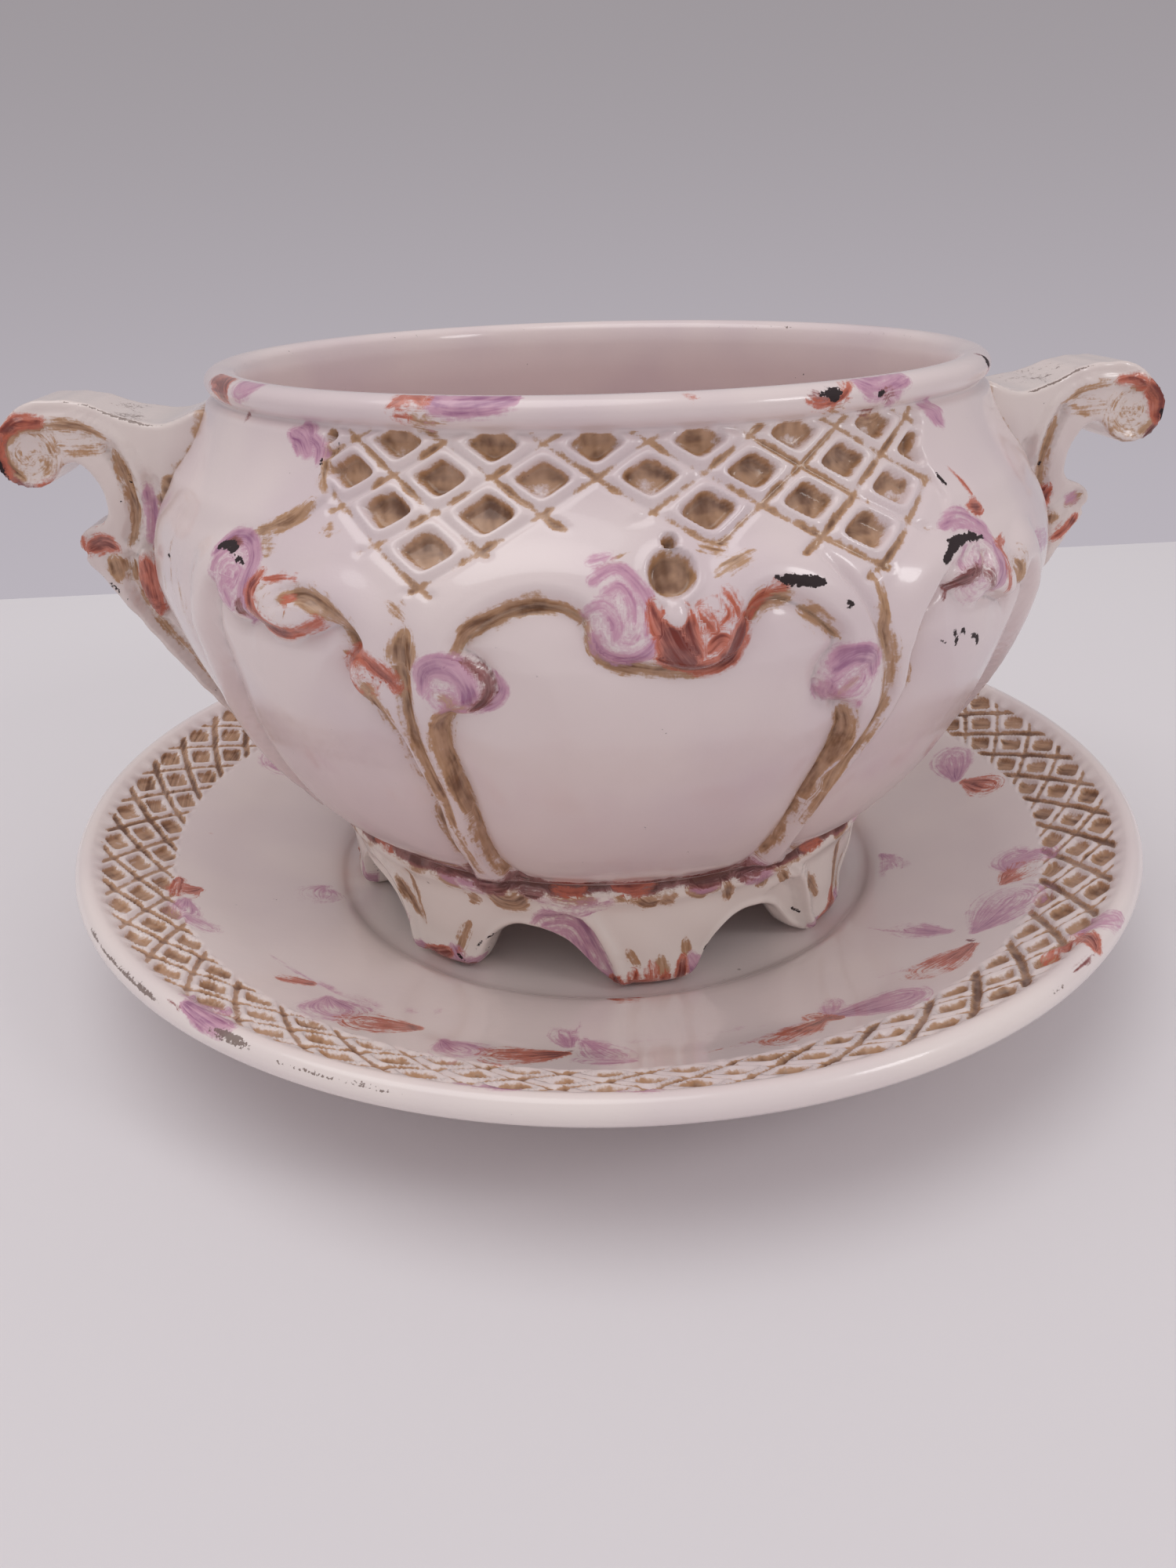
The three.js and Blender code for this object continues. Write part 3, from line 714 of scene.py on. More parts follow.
# Brush marks on the bowl by layer: points, width and strength. Those that begin above
# lipPaintFrom are on the lip too.
lipPaintFrom = 131
bowlPaint = {
    "ochre": [
        ([(-19.4, 98.6), (-18.4, 102.2), (-16.4, 104.8), (-14, 106.6), (-11.8, 107.4), (-9.2, 107),
          (-7.4, 105.2)], 3.1),
        ([(-7.2, 104.6), (-6.5, 101.6), (-5.6, 98.4), (-3, 96.4), (0, 95.2), (3, 94.4),
          (6, 95.4)], 3.1, 0.9),
        ([(8, 103.2), (9.2, 106), (10.8, 106.9), (12.4, 106.4)], 3.4),
        ([(13.8, 104.4), (15.6, 102), (17.4, 98.8)], 3.6, 0.8),
        ([(-19, 88.4), (-21, 86.8), (-22.2, 83.6), (-22.6, 77), (-22.3, 70), (-22, 58)], 3.8),
        ([(-22.1, 66), (-22, 58), (-22.3, 50), (-22.2, 42), (-21.3, 37)], 2.4),
        ([(20, 83), (21.3, 78), (21.2, 72), (20.7, 66), (20.1, 58)], 3.8),
        ([(20.4, 64), (20, 54), (20, 48), (20.1, 42), (19.4, 37)], 1.8),
        ([(-24.6, 101), (-25, 93), (-25.1, 84), (-25, 76), (-24.6, 66), (-24.4, 56)], 3.0),
        ([(-24.6, 62), (-24.6, 50), (-24.4, 40)], 1.6, 0.8),
        ([(-24.3, 101.4), (-24.7, 96)], 5.6),
        ([(22, 108), (22.6, 103), (22.9, 98), (23.9, 93), (25.2, 84), (24.7, 78), (23.5, 71.5),
          (22, 62), (21.6, 52)], 2.6),
        ([(-29.4, 91), (-28.4, 86), (-27.6, 80)], 5.2),
        ([(-27.7, 80), (-27.1, 72), (-26.4, 63), (-27, 54)], 2.4, 0.86),
        ([(-26.6, 60), (-27.2, 52), (-27.2, 44), (-27, 37)], 4.2, 0.9),
        ([(30.4, 103), (28.6, 99.6), (27.4, 95), (27.9, 89), (28.6, 85), (28, 79), (26.2, 70)], 2.2),
        ([(24, 60), (23.7, 52), (24, 44), (24.6, 39.6), (26, 36)], 1.8, 0.8),
        ([(-38.6, 105), (-36, 106.2), (-33.4, 104.9), (-31, 102.2), (-29.8, 99.4),
          (-29.4, 96.6)], 4.6, 0.95),
        ([(-31.6, 97), (-30.6, 94)], 3.0, 0.6),
        # along the raised shoulder's lower edge: partly ochre in the step, partly a painted shadow under
        # the edge
        ([(-45.4, 114.2), (-42.6, 115.4), (-40.2, 117.4), (-38.4, 120)], 3.2, 0.9),
        ([(-44, 112.4), (-41.6, 113)], 4.4, 0.62),
        ([(-35.6, 116.4), (-34.4, 116.8)], 3.6, 0.66),
        ([(-26, 106.4), (-24.4, 104.4)], 3.4, 0.6),
        ([(-38.6, 130), (-38, 125), (-37.4, 122)], 2.4, 0.8),
        ([(38.2, 107), (37, 105.6), (35, 104.2)], 3.4, 0.7),
        ([(44.8, 103), (45.4, 101), (44.9, 97.6)], 3.4, 0.9),
        ([(-29.2, 92.4), (-28.2, 90.4)], 3.0),
        ([(-21.4, 91.6), (-20.2, 90.6), (-20.4, 88.6)], 2.8, 1.0),
        ([(-64, 112), (-62.4, 104), (-61, 95)], 1.8, 0.62),
        ([(-60, 108), (-58.4, 98), (-58, 89)], 3.0, 0.46),
        ([(-66, 104), (-65, 94), (-66.4, 84)], 1.6, 0.66),
        ([(17.8, 87), (18.8, 89.4), (20, 90.6)], 2.0, 1.0),
        ([(5.2, 110.6), (7, 112), (9.4, 113.4)], 3.4, 0.66),
        ([(4.2, 115.4), (6.4, 114.4)], 3.0, 0.7),
        ([(-3, 114.4), (-5.4, 112.6)], 3.0, 0.5),
        ([(-46, 33.6), (-38, 33.4), (-31, 34.2), (-27.8, 36.6)], 3.4, 0.8),
        ([(27, 36), (31, 33.8), (40, 33.2)], 3.0, 0.8),
        ([(-27.6, 136.8), (-25.4, 135.8), (-22.6, 135.4)], 3.4, 0.66),
        ([(20, 137.2), (22, 136.2), (24.4, 134.8)], 2.6, 0.7),
    ],
    "lilac": [
        ([(-6.4, 110.6), (-4.2, 112.6), (-2.2, 110), (-1.2, 106.4), (-1.5, 102.4)], 2.6, 0.8),
        ([(-5.4, 108.8), (-3.8, 110), (-2.8, 107), (-2.9, 103.6)], 2.4, 0.72),
        ([(-7.2, 106), (-5.4, 107), (-4.2, 104.4), (-4.4, 102)], 3.0, 0.66),
        ([(-6.4, 102.6), (-5.6, 99.6), (-3.4, 98.2), (-1.4, 99.8), (-0.6, 102)], 2.2, 1.15),
        ([(-6.6, 113.4), (-4.6, 114.4)], 3.0, 0.5),
        ([(-23, 92), (-22.4, 95.6), (-20.6, 97), (-18.8, 95.6), (-18.2, 92.4), (-18.6, 89.6)], 4.2, 1.15),
        ([(-22.6, 95.4), (-20.6, 97), (-19, 96)], 1.8, 1.25),
        ([(-15.8, 95.4), (-15.2, 92.6), (-16, 89.6), (-18.4, 87)], 2.2, 0.86),
        ([(17.2, 93), (19, 95.4), (21.4, 94), (22, 90.8)], 4.0, 1.15),
        ([(17.6, 95), (19.4, 96), (21.6, 94.6)], 1.6, 1.25),
        ([(17, 91), (18.2, 92.4)], 3.0, 0.7),
        ([(16.8, 90.6), (17, 87.8), (17.8, 85.8)], 3.6, 0.86),
        ([(20.4, 88), (21, 84)], 4.0, 0.4),
        ([(-50, 110), (-48.6, 112.6), (-46, 113), (-44.2, 110.6), (-43.8, 106), (-43.8, 101.4),
          (-44.6, 99.4)], 4.0, 1.0),
        ([(-47, 104.6), (-45.6, 101.6)], 3.6, 0.7),
        ([(-44.2, 131.6), (-42.6, 131), (-41.2, 128.6)], 6.4, 0.92),
        ([(-41.6, 131.6), (-39.6, 129.6), (-39.4, 127)], 2.8, 1.0),
        ([(38, 133.4), (39.6, 131.8), (40.6, 129.6)], 5.0, 0.8),
        ([(33, 113), (36, 113.4), (38.8, 111.4), (40.6, 108)], 4.6, 0.72),
        ([(40.6, 107.4), (40.6, 103.4), (39.4, 100.6)], 4.4, 0.95),
        ([(37.4, 108), (36, 105)], 3.6, 0.6),
        ([(-21, 34.4), (-24, 35), (-27, 35.4)], 4.4, 0.8),
        ([(18.6, 34.4), (21, 35.6), (23.4, 34.6)], 4.4, 0.85),
        ([(52.4, 104), (56, 103), (60, 101.6)], 5.0, 0.66),
        ([(-24.6, 139), (-22, 138.4), (-18, 138.8), (-14.6, 139.6)], 3.8, 1.05),
        ([(26.4, 139.4), (28.6, 138), (31.4, 138.4), (34, 139.2)], 5.0, 0.76),
        ([(-57.6, 141.2), (-57, 138.4), (-53, 140.2)], 4.6, 0.86),
        ([(-25.2, 134.8), (-23.8, 135.2)], 2.4, 0.3),
        ([(30.6, 137), (32.4, 135.2)], 3.0, 0.86),
        ([(60, 137.8), (61, 136)], 4.0, 0.9),
    ],
    "rust": [
        ([(-1, 107), (-0.4, 103.6), (0.6, 100.6), (1.6, 98)], 3.2, 1.25),
        ([(0.2, 103.6), (1.2, 99.8), (2.6, 96.6)], 6.4, 1.3),
        ([(2, 106), (2.3, 102.4), (3.2, 98.6)], 3.6, 1.3),
        ([(-0.4, 98.6), (1.4, 96.8), (3.6, 95.6)], 3.0, 1.1),
        ([(1.6, 96.4), (4, 95.8), (5.9, 97.2), (7, 100.4), (7.9, 104)], 4.4, 1.3),
        ([(3.4, 106), (4.2, 104.2), (4.8, 102.4)], 2.4, 0.95),
        ([(4, 99.2), (5.2, 101), (6.2, 100)], 4.2, 0.8),
        ([(5.4, 107.4), (6, 105), (5.2, 103.4)], 2.4, 0.7),
        ([(5.8, 108.6), (6.8, 106), (7.4, 102.6)], 2.2, 0.8),
        ([(7.8, 103.6), (9, 106.2), (10.6, 107.9), (12, 108.4)], 2.0, 0.9),
        ([(-42.2, 108.6), (-42.9, 105), (-41.6, 101), (-38.4, 99), (-36, 100),
          (-33.6, 102.6)], 2.6, 1.15),
        ([(-41.6, 107.6), (-39.4, 108.4), (-37, 108.6)], 1.5, 0.8),
        ([(-38.6, 104.2), (-37, 105)], 2.6, 0.6),
        ([(-29.6, 90.4), (-31, 93), (-30.4, 96.2), (-28.6, 97.4), (-26.8, 95), (-25.6, 91)], 2.9, 1.05),
        ([(38.4, 121), (39.6, 118.4), (40.2, 115.6)], 1.4, 0.9),
        ([(38.8, 114.6), (40.8, 114.2)], 3.6, 1.1),
        ([(41.6, 104), (42.2, 98.4)], 2.4, 0.8),
        ([(41, 107.4), (43.6, 108.2)], 2.4, 0.8),
        ([(41.2, 108.4), (42, 105), (42.2, 101)], 1.8, 0.9),
        ([(-29.4, 138.4), (-27, 139.8), (-25, 139)], 3.2, 0.9),
        ([(-28.8, 136.6), (-26.8, 136.4)], 2.0, 0.9),
        ([(18.6, 137.6), (20.6, 136.6), (23, 137.4), (25, 139.4)], 2.2, 0.9),
        ([(-68.6, 139.6), (-64.6, 139.4), (-61.2, 136.6)], 6.8, 1.0),
        ([(4.2, 139.6), (5.4, 139.4)], 1.8, 0.5),
    ],
    "plum": [
        ([(-31, 34.2), (-26, 35.6), (-22, 35.8), (-17, 34)], 3.8, 1.0),
        ([(12, 33.4), (18, 34.8), (25, 35)], 3.4, 0.9),
        ([(-18.4, 97.6), (-16.8, 95.6), (-16.4, 92.6), (-17, 89.8), (-18.4, 88)], 2.4, 0.95),
        ([(-48.6, 112), (-46.8, 112.2)], 2.6, 0.8),
        ([(-44.2, 103.6), (-44.6, 100)], 3.0, 0.76),
        ([(36.4, 105), (38, 103), (38.8, 100.6)], 3.0, 0.7),
        ([(31.4, 101), (33.4, 103.6), (36.2, 104.8)], 3.4, 0.6),
        ([(18.8, 138.2), (20.4, 137.2), (22, 137.4)], 2.6, 0.9),
        ([(29, 137.2), (31.6, 136.6)], 2.4, 0.8),
        ([(60.4, 139), (61.4, 138)], 3.0, 1.0),
        ([(-57.2, 134), (-55.8, 132.6)], 1.2, 0.8),
        ([(26.6, 134), (30, 133.6)], 2.2, 0.5),
    ],
    "chip": [
        ([(11.2, 109.4), (12.6, 108.9), (14, 108.5), (15.6, 108)], 1.6),
        ([(17.9, 104.6), (18.3, 103.8)], 0.9),
        ([(-49.8, 110.6), (-48.4, 111.6), (-47, 111.2)], 1.7),
        ([(-48, 110.9), (-46.4, 110), (-45.2, 109)], 1.2),
        ([(30.8, 107.4), (32, 109), (34, 110.2), (36.4, 110.4), (38.6, 109.6)], 2.0),
        ([(32, 110.4), (34.6, 110.6)], 1.4),
        ([(33.2, 94.6), (34, 92.8), (34.6, 90.6)], 1.3),
        ([(31.8, 92.6), (32.6, 91.8)], 0.9),
        ([(35, 93.6), (35.6, 92.6)], 0.8),
        ([(37.2, 91.4), (38.6, 90.4), (39.6, 88.6)], 1.1),
        ([(20.6, 138.4), (22, 138), (23, 138.4)], 1.8),
        ([(28.6, 137.2), (29.6, 137.4)], 1.2),
        ([(59.4, 138.6), (60.6, 138), (61.2, 139.4)], 2.2),
        ([(35.8, 121.8), (36.3, 119.6), (36.5, 118.8)], 0.6),
        ([(-38.8, 127.4), (-38.3, 124.6)], 0.5),
        ([(-63.8, 105.6), (-62.9, 105.2)], 1.0),
    ],
}


# The outer wall: two Bezier curves that meet upright at the belly; radius by height over the base.
def bowlProfile():
    belly, top = bowl["bellyHeight"], bowl["neckHeight"]
    base, wide, neck = bowl["baseRadius"], bowl["bellyRadius"], bowl["neckRadius"]
    swell, sweep = bowl["lowerSwell"], bowl["neckSweep"]
    lower = bezier((base, 0), (base + swell[0], swell[1]),
                   (wide, belly - bowl["bellyRound"]), (wide, belly), 300)
    upper = bezier((wide, belly), (wide, belly + bowl["shoulderRound"]),
                   (neck + sweep[0], top - sweep[1]), (neck, top), 300)
    return np.vstack([lower, upper[1:]])


bowlCurve = bowlProfile()
bowlArc = np.concatenate([[0], np.cumsum(np.hypot(*np.diff(bowlCurve, axis=0).T))])


# Radius of the wall at a height above the feet.
def bowlRadius(height):
    return np.interp(np.asarray(height) - bowlBase, bowlCurve[:, 1], bowlCurve[:, 0])


# Length of the wall's curve up to a height above the feet, straight on past its ends.
def bowlArcOf(height):
    rise = np.asarray(height, float) - bowlBase
    inside = np.interp(rise, bowlCurve[:, 1], bowlArc)
    return inside + np.minimum(rise, 0) + np.maximum(rise - bowlCurve[-1, 1], 0)


# Lift and ochre of the trellis, the ochre darker in each recess's upper half as painted
# shade. With u and v counting cells along its two slants, m = (|u - round u|^5 + |v - round v|^5)^(1/5)
# is 0 in a diamond's middle and a half on the bands between; the lift is a pit for m < recess,
# a bead at m = bead, and a groove near a half.
def trellisRelief(chart):
    middle, cell = trellis["centre"], (trellis["across"], trellis["up"])
    s = (chart.across - middle[0]) / cell[0]
    t = (chart.up - middle[1]) / cell[1]
    shake = wobble(chart.across * 6, chart.up * 6, 5, 0.02)
    u, v = s + t + shake, s - t - shake
    du, dv = np.abs(u - np.round(u)), np.abs(v - np.round(v))
    m = (du ** 5 + dv ** 5) ** (1 / 5)
    # only diamonds that lie whole above the arches are sunk
    cellAcross, cellUp = (np.round(u) + np.round(v)) / 2, (np.round(u) - np.round(v)) / 2
    arches = np.interp(cellAcross * cell[0] + middle[0], *spline(trellis["floor"]).T)
    whole = cellUp * cell[1] + middle[1] - arches > 3.5
    pit = (1 - smooth(m, trellis["recess"] - 0.08, trellis["recess"] + 0.03)) * whole
    bead = bell(m - trellis["bead"], 0.06) * whole
    course = np.maximum(du, dv)
    groove = smooth(course, trellis["groove"] - 0.09, trellis["groove"] + 0.03)
    lift = trellis["beadRise"] * bead - trellis["depth"] * pit - trellis["grooveDepth"] * groove

    # each recess holds ochre and is painted darker in its upper half, as painted shade under the frame's
    # edge; the grooves are full of paint only here and there
    upper = smooth(((u - np.round(u)) - (v - np.round(v))) / 2, -0.05, 0.04)
    recessOchreAndShade = np.clip(0.5 + (trellis["recess"] - 0.01 - m) * 11, 0, 1) * (0.7 + 0.3 * upper)
    recessOchreAndShade = recessOchreAndShade * (1 - 0.3 * smooth(chart.up, 130, 134)) * whole
    crossing = smooth(np.minimum(du, dv), 0.36, 0.46)
    filled = 0.54 + 0.44 * smooth(chart.across, 3, 15) + wobble(chart.across * 9, chart.up * 7, 6, 0.9)
    lines = np.clip(0.5 + (course - trellis["groove"] + 0.012) * 11, 0, 1) * np.clip(
        np.maximum(filled, 0.7 * crossing), 0, 0.92)
    return lift, np.maximum(recessOchreAndShade, lines)


# Azimuth of a border of the trellis at each height.
def borderAt(border, up):
    heights, azimuths = zip(*sorted((height, azimuth) for azimuth, height in border))
    return np.interp(up, heights, azimuths)


# 1 inside the trellised band and 0 outside: between its side borders and above the arches.
# With it the same for the side borders alone.
def trellisField(chart):
    fromLeft = (chart.across - borderAt(trellis["left"], chart.up)) * chart.perDegree
    fromRight = (borderAt(trellis["right"], chart.up) - chart.across) * chart.perDegree
    sides = smooth(fromLeft, 0, 1.6) * smooth(fromRight, 0, 1.8)
    arches = np.interp(chart.across, *spline(trellis["floor"]).T)
    return sides * smooth(chart.up - arches, -0.6, 1.2), sides


# Lift of the panels and the framing, by the distance x from a panel's outline. Inside it is
# a groove, -depth exp(-x / 2.4), and a swell, (1 - exp(-x / 14)); outside, the frame rises
# over the groove as a quarter sine and settles again.
def framingRelief(chart):
    panels = np.maximum.reduce(
        [chart.inside(outline, bowl["outlineReach"]) for outline in (frontPanel, leftPanel, rightPanel)])
    panels = panels + wobble(chart.across * 5, chart.up * 4, 3, 0.25)
    outside = np.clip(-panels, 0, None)
    within = np.clip(panels, 0, None)
    groove = bowl["grooveDepth"]
    edge = np.sin(np.pi / 2 * np.clip(outside / bowl["frameRound"], 0, 1)) ** 0.85
    settled = bowl["frameSettle"] * smooth(outside, 4.5, 12)
    framing = -groove + (groove + bowl["frameRise"]) * edge - settled
    panel = -groove * np.exp(-within / 2.4) + bowl["panelSwell"] * (1 - np.exp(-within / 14))
    return np.where(panels > 0, panel, framing)


# A curl is a dome, height sqrt(1 - (away / radius)^2), with a ridge wound round its middle.
def curlRelief(chart, lift, centre, radius, start, hand, height):
    dx, dy, away = chart.polar(centre)
    angle = np.arctan2(dy, dx) * hand - np.radians(start)
    turn = np.mod(angle / (2 * np.pi) + away / (radius * 0.86), 1)
    ridge = 0.5 + 0.5 * np.cos(2 * np.pi * turn)
    dome = np.sqrt(np.clip(1 - (away / radius) ** 2, 0, 1))
    edge = 0.6 * (1 - smooth(away, radius * 0.95, radius * 1.5))
    boss = height * dome ** 0.8 * (0.62 + 0.38 * ridge) - edge
    return np.where(away < radius * 1.02, np.maximum(lift, boss), lift)


# Lift of the wall in millimetres and its painted fields, for half a turn: framing, trellis,
# grooves, curls, and the sinkings and the drop over the front curls.
def bowlRelief(chart):
    weave, weaveOchreAndShade = trellisRelief(chart)
    field, sides = trellisField(chart)
    shoulder = smooth(chart.up, 112, 117) * (1 - sides)
    lift = framingRelief(chart) + field * weave + bowl["shoulderRise"] * shoulder
    for points, width, depth in bowlGrooves:
        distance, share = chart.near(points, width * 2)
        ends = smooth(np.minimum(share, 1 - share), 0, 0.12)
        lift = lift - depth * (0.35 + 0.65 * ends) * bell(distance, width / 2)

    paint = Paint(chart)
    for centre, radius, start, hand, height, layer, strength in bowlCurls:
        lift = curlRelief(chart, lift, centre, radius, start, hand, height)
        paint.coil(layer, centre, radius, strength)

    hole, nub, drop = (chart.polar(bowl[key])[2] for key in ("hole", "nub", "drop"))
    wide, small = bowl["holeRadius"], bowl["nubRadius"]
    pit = np.maximum(1 - smooth(hole, wide - 0.5, wide + 0.5), 1 - smooth(nub, small - 0.4, small + 0.4))
    rim = bell(hole - wide - 1.0, 0.8)
    lift = lift - bowl["holeDepth"] * pit + 0.5 * rim * (1 - pit)
    lift = lift + bowl["dropRise"] * np.sqrt(np.clip(1 - (drop / bowl["dropRadius"]) ** 2, 0, 1))
    fade = smooth(chart.up, bowlBase, bowlBase + 5) * (1 - smooth(chart.up, 131.5, 134.5))
    lift = lift * fade - 0.8 * (1 - smooth(chart.up, bowlBase, bowlBase + 3.5))

    paint.strokes(bowlPaint)
    joint = 33.4 - chart.up + wobble(chart.across * 5, 0 * chart.up, 4, 1.2)
    paint.lay("plum", 1.1 * np.clip(0.5 + joint * 0.5, 0, 1))
    bare = np.clip(0.5 + (bowl["dropRadius"] - 0.2 - drop) * 0.8, 0, 1)
    for layer in ("lilac", "rust", "plum"):
        paint.fields[layer] = paint.fields[layer] * (1 - bare) * (1 - pit)
    # the trellis ochre goes in with its painted shade in the upper half of each recess
    paint.fields["ochre"] = np.maximum(paint.fields["ochre"] * (1 - bare), weaveOchreAndShade * field)
    paint.lay("ochre", 0.95 * np.clip(0.5 + (wide - hole) * 0.7, 0, 1))
    paint.lay("ochre", np.clip(0.5 + (small - nub) * 0.7, 0, 1))
    return lift, paint.fields


# Heights over the base of the outer rows, closer together where the relief is fine.
def outerHeights():
    low, middle, high = bowl["rows"]
    arches, trellised = (height - bowlBase for height in bowl["rowsFrom"])
    return np.concatenate([
        np.linspace(0, arches, low, endpoint=False),
        np.linspace(arches, trellised, middle, endpoint=False),
        np.linspace(trellised, bowl["neckHeight"], high, endpoint=False),
    ])


# How close the bowl's columns lie: closest over the trellis and the panels beside it.
def bowlDensity(azimuth):
    return 1.0 - 0.72 * smooth(np.abs(azimuth), 44, 58)


# The relief stands out along the wall's normal, (dz, -dr) by its arc length.
def makeBowl(material):
    front, back = (spacing(-90, 90, count, bowlDensity) for count in bowl["columns"])
    azimuths = np.concatenate([front, back])         # the back is the front once more
    onBack = np.arange(len(azimuths)) >= len(front)
    across, up = np.meshgrid(azimuths, outerHeights() + bowlBase)
    radius = bowlRadius(up)
    lift, fields = bowlRelief(Chart(across, up, np.radians(1) * radius, bowlArcOf))
    outward = np.gradient(bowlCurve[:, 1], bowlArc)
    upward = -np.gradient(bowlCurve[:, 0], bowlArc)
    outerR = radius + lift * np.interp(up - bowlBase, bowlCurve[:, 1], outward)
    outerZ = up + lift * np.interp(up - bowlBase, bowlCurve[:, 1], upward)

    bands = [underRows(azimuths), (outerR, outerZ, fields),
             lipRows(azimuths, onBack), innerRows(azimuths)]
    r = np.vstack([band[0] for band in bands])
    z = np.vstack([band[1] for band in bands])
    painted = {key: np.vstack([band[2].get(key, 0 * band[0]) for band in bands]) for key in fields}
    painted["chip"] = painted["chip"] * ~onBack
    azimuth = azimuths + 180 * onBack
    r = r + wobble(azimuth, z, 11, 0.12)
    angle = np.radians(azimuth)
    piece = gridPiece("bowl", r * np.sin(angle), -r * np.cos(angle), z + feetHeight, painted)
    seat(piece, "pot", "pot_bowl", material)


# The rolled lip: a half round from under its outer edge over to the mouth.
def lipRows(azimuths, onBack):
    turn = np.radians(np.linspace(*bowl["lipTurn"], bowl["lipRows"]))[:, None]
    middle = (bowl["mouthRadius"] + bowl["lipRadius"]) / 2
    half = (bowl["lipRadius"] - bowl["mouthRadius"]) / 2
    uneven = wobble(azimuths, 0, 21, 0.15)
    r = middle + half * np.cos(turn) + uneven
    z = rimTop - bowl["lipHeight"] / 2 + bowl["lipHeight"] / 2 * np.sin(turn) + 0 * uneven
    paint = Paint(Chart(np.broadcast_to(azimuths, r.shape), z,
                        np.full(r.shape, np.radians(1) * bowl["lipRadius"])))
    paint.strokes({layer: [mark for mark in marks if mark[0][0][1] > lipPaintFrom]
                   for layer, marks in bowlPaint.items()})
    onOuter = np.cos(turn) > 0.05
    fields = masked(paint.fields, onOuter)
    # worn all along its inner edge, and on top in one stretch at the back
    backLeft = smooth(azimuths, 18, 30) * (1 - smooth(azimuths, 52, 64)) * onBack
    fields["worn"] = (0.12 + 0.42 * bell(np.degrees(turn) - 150, 22)
                      + 0.45 * backLeft * bell(np.degrees(turn) - 100, 16))
    return r, z, fields


# The inside: the outer curve less the wall, a rounded corner, and the floor in to the middle.
def innerRows(azimuths):
    floor, (roundOut, roundUp) = bowl["floor"], bowl["floorRound"]
    heights = np.linspace(bowl["neckHeight"] - 0.5, floor + roundUp, 11)
    wall = bowlRadius(heights + bowlBase) - bowl["wall"]
    corner = wall[-1]
    turn = np.radians(np.linspace(15, 90, 5))
    bend = np.column_stack([corner - roundOut * (1 - np.cos(turn)),
                            floor + roundUp - roundUp * np.sin(turn)])
    flat = np.column_stack([np.linspace(corner - roundOut - 4, 6, 4), np.full(4, floor)])
    profile = np.vstack([np.column_stack([wall, heights]), bend, flat])
    r = np.repeat(profile[:, :1], len(azimuths), 1)
    z = np.repeat(profile[:, 1:] + bowlBase, len(azimuths), 1)
    return r, z, {}


# The underside, flat, from near the middle out to the base.
def underRows(azimuths):
    reach = np.array([8, 60, bowl["baseRadius"] - 1.0])
    r = np.repeat(reach[:, None], len(azimuths), 1)
    return r, np.full(r.shape, bowlBase), {}


makeBowl(glazeMaterial("bowlGlaze", "pink", 0.06))
print("bowl is made")


# Saucer

saucer = {
    "radius": 143.0,
    "wall": 5.0,
    "ringOuter": 76.0,        # standing ring under the well
    "ringWidth": 6.0,
    "ringHeight": 3.0,
    "lipMiddle": (139.7, 24.0),
    "lipHalf": 3.2,
    "lipTurn": (118, -64),    # degrees round the lip's section, from its top to its underside
    "lipRows": 12,
    "worn": 0.44,
    "cells": 48,
    "rowPitch": 5.5,
    "bandMiddle": 128.3,
    "bandTurn": -2.4,         # degrees to the middle of a diamond
    "band": (120.0, 136.6),
    "recess": 0.275,          # shares of a cell, from its middle
    "bead": 0.35,
    "groove": 0.425,
    "depth": 1.2,
    "columns": 860,
    "rows": 80,               # of the upper face
    # The underside from the lip in, and the upper face from the middle out: radius, height
    # over the well's floor
    "under": [(137, 20), (129, 16), (120, 11.5), (112, 7.6), (104, 4.1), (92, 0.6), (80, -3.4)],
    "top": [(62, 0), (70, 0), (73.4, 0.2), (75.6, 0.9), (77.4, 2.2), (79.6, 3.3), (83, 4.1),
            (95, 6.4), (104, 9),
            (112, 12.6), (120, 16.5), (128, 20.6), (137, 25.3)],
}

